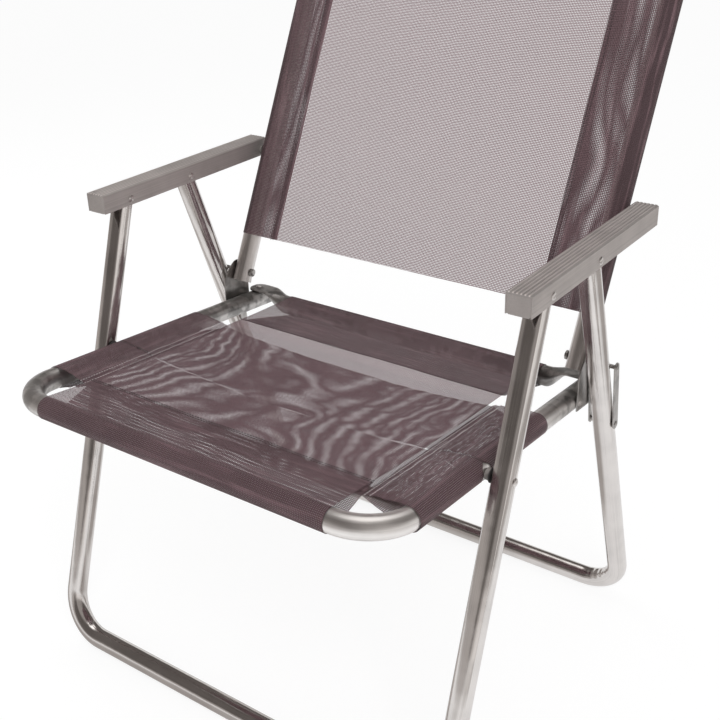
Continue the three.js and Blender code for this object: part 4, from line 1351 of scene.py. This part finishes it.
class CHAIR_OT_back_sling(ChairOperator, bpy.types.Operator):
    """The back sling with its folded flaps and seams"""
    bl_idname = "chair.back_sling"
    bl_label = "Back sling"
    LOW = 52
    HIGH = BACK_LENGTH - BACK_BEND - 15
    # How far the mesh is closed, which also darkens its yarn as painted shade: in a flap, over a flap and
    # round a tube
    FLAP = 0.25
    BACKED = 0.07
    WRAPPED = 0.75

    def make(self):
        sizes = chair_sizes()
        sag = sizes.back_sag / MM
        hem = sizes.back_hem / MM

        def face(x):
            t = (x + INNER_X) / (2 * INNER_X)
            return -SLEEVE + 4 * sag * t * (1 - t)

        def sewn(x):
            """A place on a seam, just behind the sheet."""
            behind = 2.2
            return Vector((x, face(x) + behind))

        fold = Vector((0, 1.1))
        left, right = Vector((INNER_X, 0)), Vector((-INNER_X, 0))
        seam_left, seam_right = sewn(sizes.back_seam_left / MM), sewn(-sizes.back_seam_right / MM)
        touch_left, touch_right = touch_angle(left, seam_left, -1), touch_angle(right, seam_right, 1)
        on_left, on_right = on_sleeve(left, touch_left), on_sleeve(right, touch_right)
        hem_left = seam_left + (on_left - seam_left).normalized() * hem
        hem_right = seam_right + (on_right - seam_right).normalized() * hem
        line = ClothLine(self.WRAPPED)
        line.line(hem_left + fold, seam_left + fold, self.FLAP)
        line.line(seam_left, on_left, self.FLAP)
        line.wrap(left, touch_left + 360, -90)
        line.line(Vector((INNER_X, -SLEEVE)), Vector((-INNER_X, -SLEEVE)), 0.0, sag)
        line.wrap(right, -90, touch_right - 360)
        line.reclose(seam_left.x, INNER_X + 1, 0.0, self.BACKED)
        line.reclose(-INNER_X - 1, seam_right.x, 0.0, self.BACKED)
        line.line(on_right, seam_right, self.FLAP)
        line.line(seam_right + fold, hem_right + fold, self.FLAP)
        strip = Strip(
            "back_cloth", line, (self.LOW, self.HIGH), axes=(0, 1, 2), frame_matrix=BACK,
            crease=soft_crease, streak=(12, 120), seed=31.0)
        lay(strip, "back", "back_sling")
        outer = [i for i, p in enumerate(line.points) if p.y < face(p.x) + 0.8]
        rows = []
        for seam in (seam_left, seam_right):
            for shift in (3.0, 7.0):
                x = seam.x + math.copysign(shift, seam.x)
                i = min(outer, key=lambda k: abs(line.points[k].x - x))
                rows.append(strip.row(i, (0, -0.0003, 0.0001)))
        stitches("back_stitches", rows, "back_thread", "back")


class CHAIR_OT_stage(ChairOperator, bpy.types.Operator):
    """Floor, studio light and camera"""
    bl_idname = "chair.stage"
    bl_label = "Stage"

    def world(self):
        """A plain backdrop. What shines reflects a studio that is darker to the camera's left and above,
        with a softbox."""
        world = bpy.context.scene.world or bpy.data.worlds.new("Studio")
        bpy.context.scene.world = world
        world.use_nodes = True
        f = Finish(world.node_tree)
        x, y, z = f.parts(f.node("ShaderNodeTexCoord", output="Generated"))
        across = x * 0.806 + y * 0.592
        middle = across.step(-0.56, -0.44) * (1.0 - across.step(-0.34, -0.16))
        studio = f.mix((0.46, 0.43, 0.41), (0.82, 0.79, 0.77), across.step(-0.12, 0.06))
        studio = f.mix(studio, (0.2, 0.183, 0.172), middle)
        studio = f.mix(studio, (0.95, 0.94, 0.93), y.step(0.1, 0.45))
        near_right = across.step(-0.25, 0.05) * (1.0 - y.step(-0.2, 0.2))
        above = f.mix((0.12, 0.107, 0.1), (0.32, 0.298, 0.284), near_right)
        above = f.mix((0.27, 0.248, 0.236), above, x.step(-0.76, -0.66))
        studio = f.mix(studio, above, z.step(0.06, 0.24))
        softbox = x.step(-0.45, -0.35) * (1.0 - x.step(0.1, 0.3)) * (y * 0.25 + z * 0.95).step(0.87, 0.94)
        studio = f.mix(studio, (1.6, 1.56, 1.53), softbox)
        seen = f.mix((0.62, 0.62, 0.62), (1, 1, 1), f.ray("Camera").larger(f.ray("Transmission")))
        seen = f.mix(seen, studio, f.ray("Glossy"))
        background = f.node("ShaderNodeBackground", None, {"Color": seen, "Strength": 1.0})
        f.node("ShaderNodeOutputWorld", None, {"Surface": background})

    def floor(self):
        reach, level = 16.0, -0.0003
        square = ((-reach, -reach), (reach, -reach), (reach, reach), (-reach, reach))
        mesh = bpy.data.meshes.new("floor")
        mesh.from_pydata([(x, y, level) for x, y in square], [], [(0, 1, 2, 3)])
        add_piece("floor", mesh, "pale_floor")

    def lamp(self, name, place, power, size):
        data = bpy.data.lights.new(name, "AREA")
        data.energy = power
        data.size = size
        lamp = add_object(name, data)
        lamp.location = place
        lamp.visible_glossy = False
        aim = Vector((0, 0, 0.4))
        lamp.rotation_euler = (aim - Vector(place)).to_track_quat("-Z", "Y").to_euler()

    def camera(self):
        data = bpy.data.cameras.new("photo_view")
        data.sensor_fit = "HORIZONTAL"
        data.sensor_width = 36.0
        data.lens = 55.05
        data.clip_end = 60
        camera = add_object("photo_view", data)
        yaw, pitch, roll = 0.6330, 0.4655, -0.0312
        level = math.cos(pitch)
        ahead = Vector((-math.sin(yaw) * level, math.cos(yaw) * level, -math.sin(pitch)))
        right = Vector((math.cos(yaw), math.sin(yaw), 0))
        up = right.cross(ahead)
        across = right * math.cos(roll) + up * math.sin(roll)
        above = up * math.cos(roll) - right * math.sin(roll)
        turn = Matrix((across, above, -ahead)).transposed().to_4x4()
        place = Vector((0.7246, -0.9467 + SHIFT_Y, 0.9842))
        camera.matrix_world = Matrix.Translation(place) @ turn
        bpy.context.scene.camera = camera

    def make(self):
        bpy.context.scene.view_settings.view_transform = "Standard"
        self.world()
        self.floor()
        self.lamp("key", (1.7, -1.5, 2.3), 30, 1.3)
        self.lamp("fill", (-1.9, 0.4, 2.0), 10, 1.6)
        self.camera()


class CHAIR_PT_panel(bpy.types.Panel):
    """The chair's steps, sizes and colours"""
    bl_idname = "CHAIR_PT_panel"
    bl_label = "Folding chair"
    bl_space_type = "VIEW_3D"
    bl_region_type = "UI"
    bl_category = "Chair"

    def draw(self, context):
        layout = self.layout
        for step in STEPS:
            layout.operator(step.bl_idname)
        for group in (context.scene.chair_sizes, context.scene.chair_colours):
            box = layout.box()
            for key in group.bl_rna.properties.keys():
                if key not in ("rna_type", "name"):
                    box.prop(group, key)


STEPS = (
    CHAIR_OT_stage,
    CHAIR_OT_legs,
    CHAIR_OT_armrests,
    CHAIR_OT_seat_frame,
    CHAIR_OT_hinges,
    CHAIR_OT_links,
    CHAIR_OT_back_frame,
    CHAIR_OT_seat_slings,
    CHAIR_OT_back_sling,
)
CLASSES = (ChairSizes, ChairColours, *STEPS, CHAIR_PT_panel)


def register():
    for each in CLASSES:
        bpy.utils.register_class(each)
    bpy.types.Scene.chair_sizes = bpy.props.PointerProperty(type=ChairSizes)
    bpy.types.Scene.chair_colours = bpy.props.PointerProperty(type=ChairColours)


def unregister():
    del bpy.types.Scene.chair_colours
    del bpy.types.Scene.chair_sizes
    for each in reversed(CLASSES):
        bpy.utils.unregister_class(each)


def main():
    register()
    for step in STEPS:
        group, name = step.bl_idname.split(".")
        getattr(getattr(bpy.ops, group), name)()


if __name__ == "__main__":
    main()
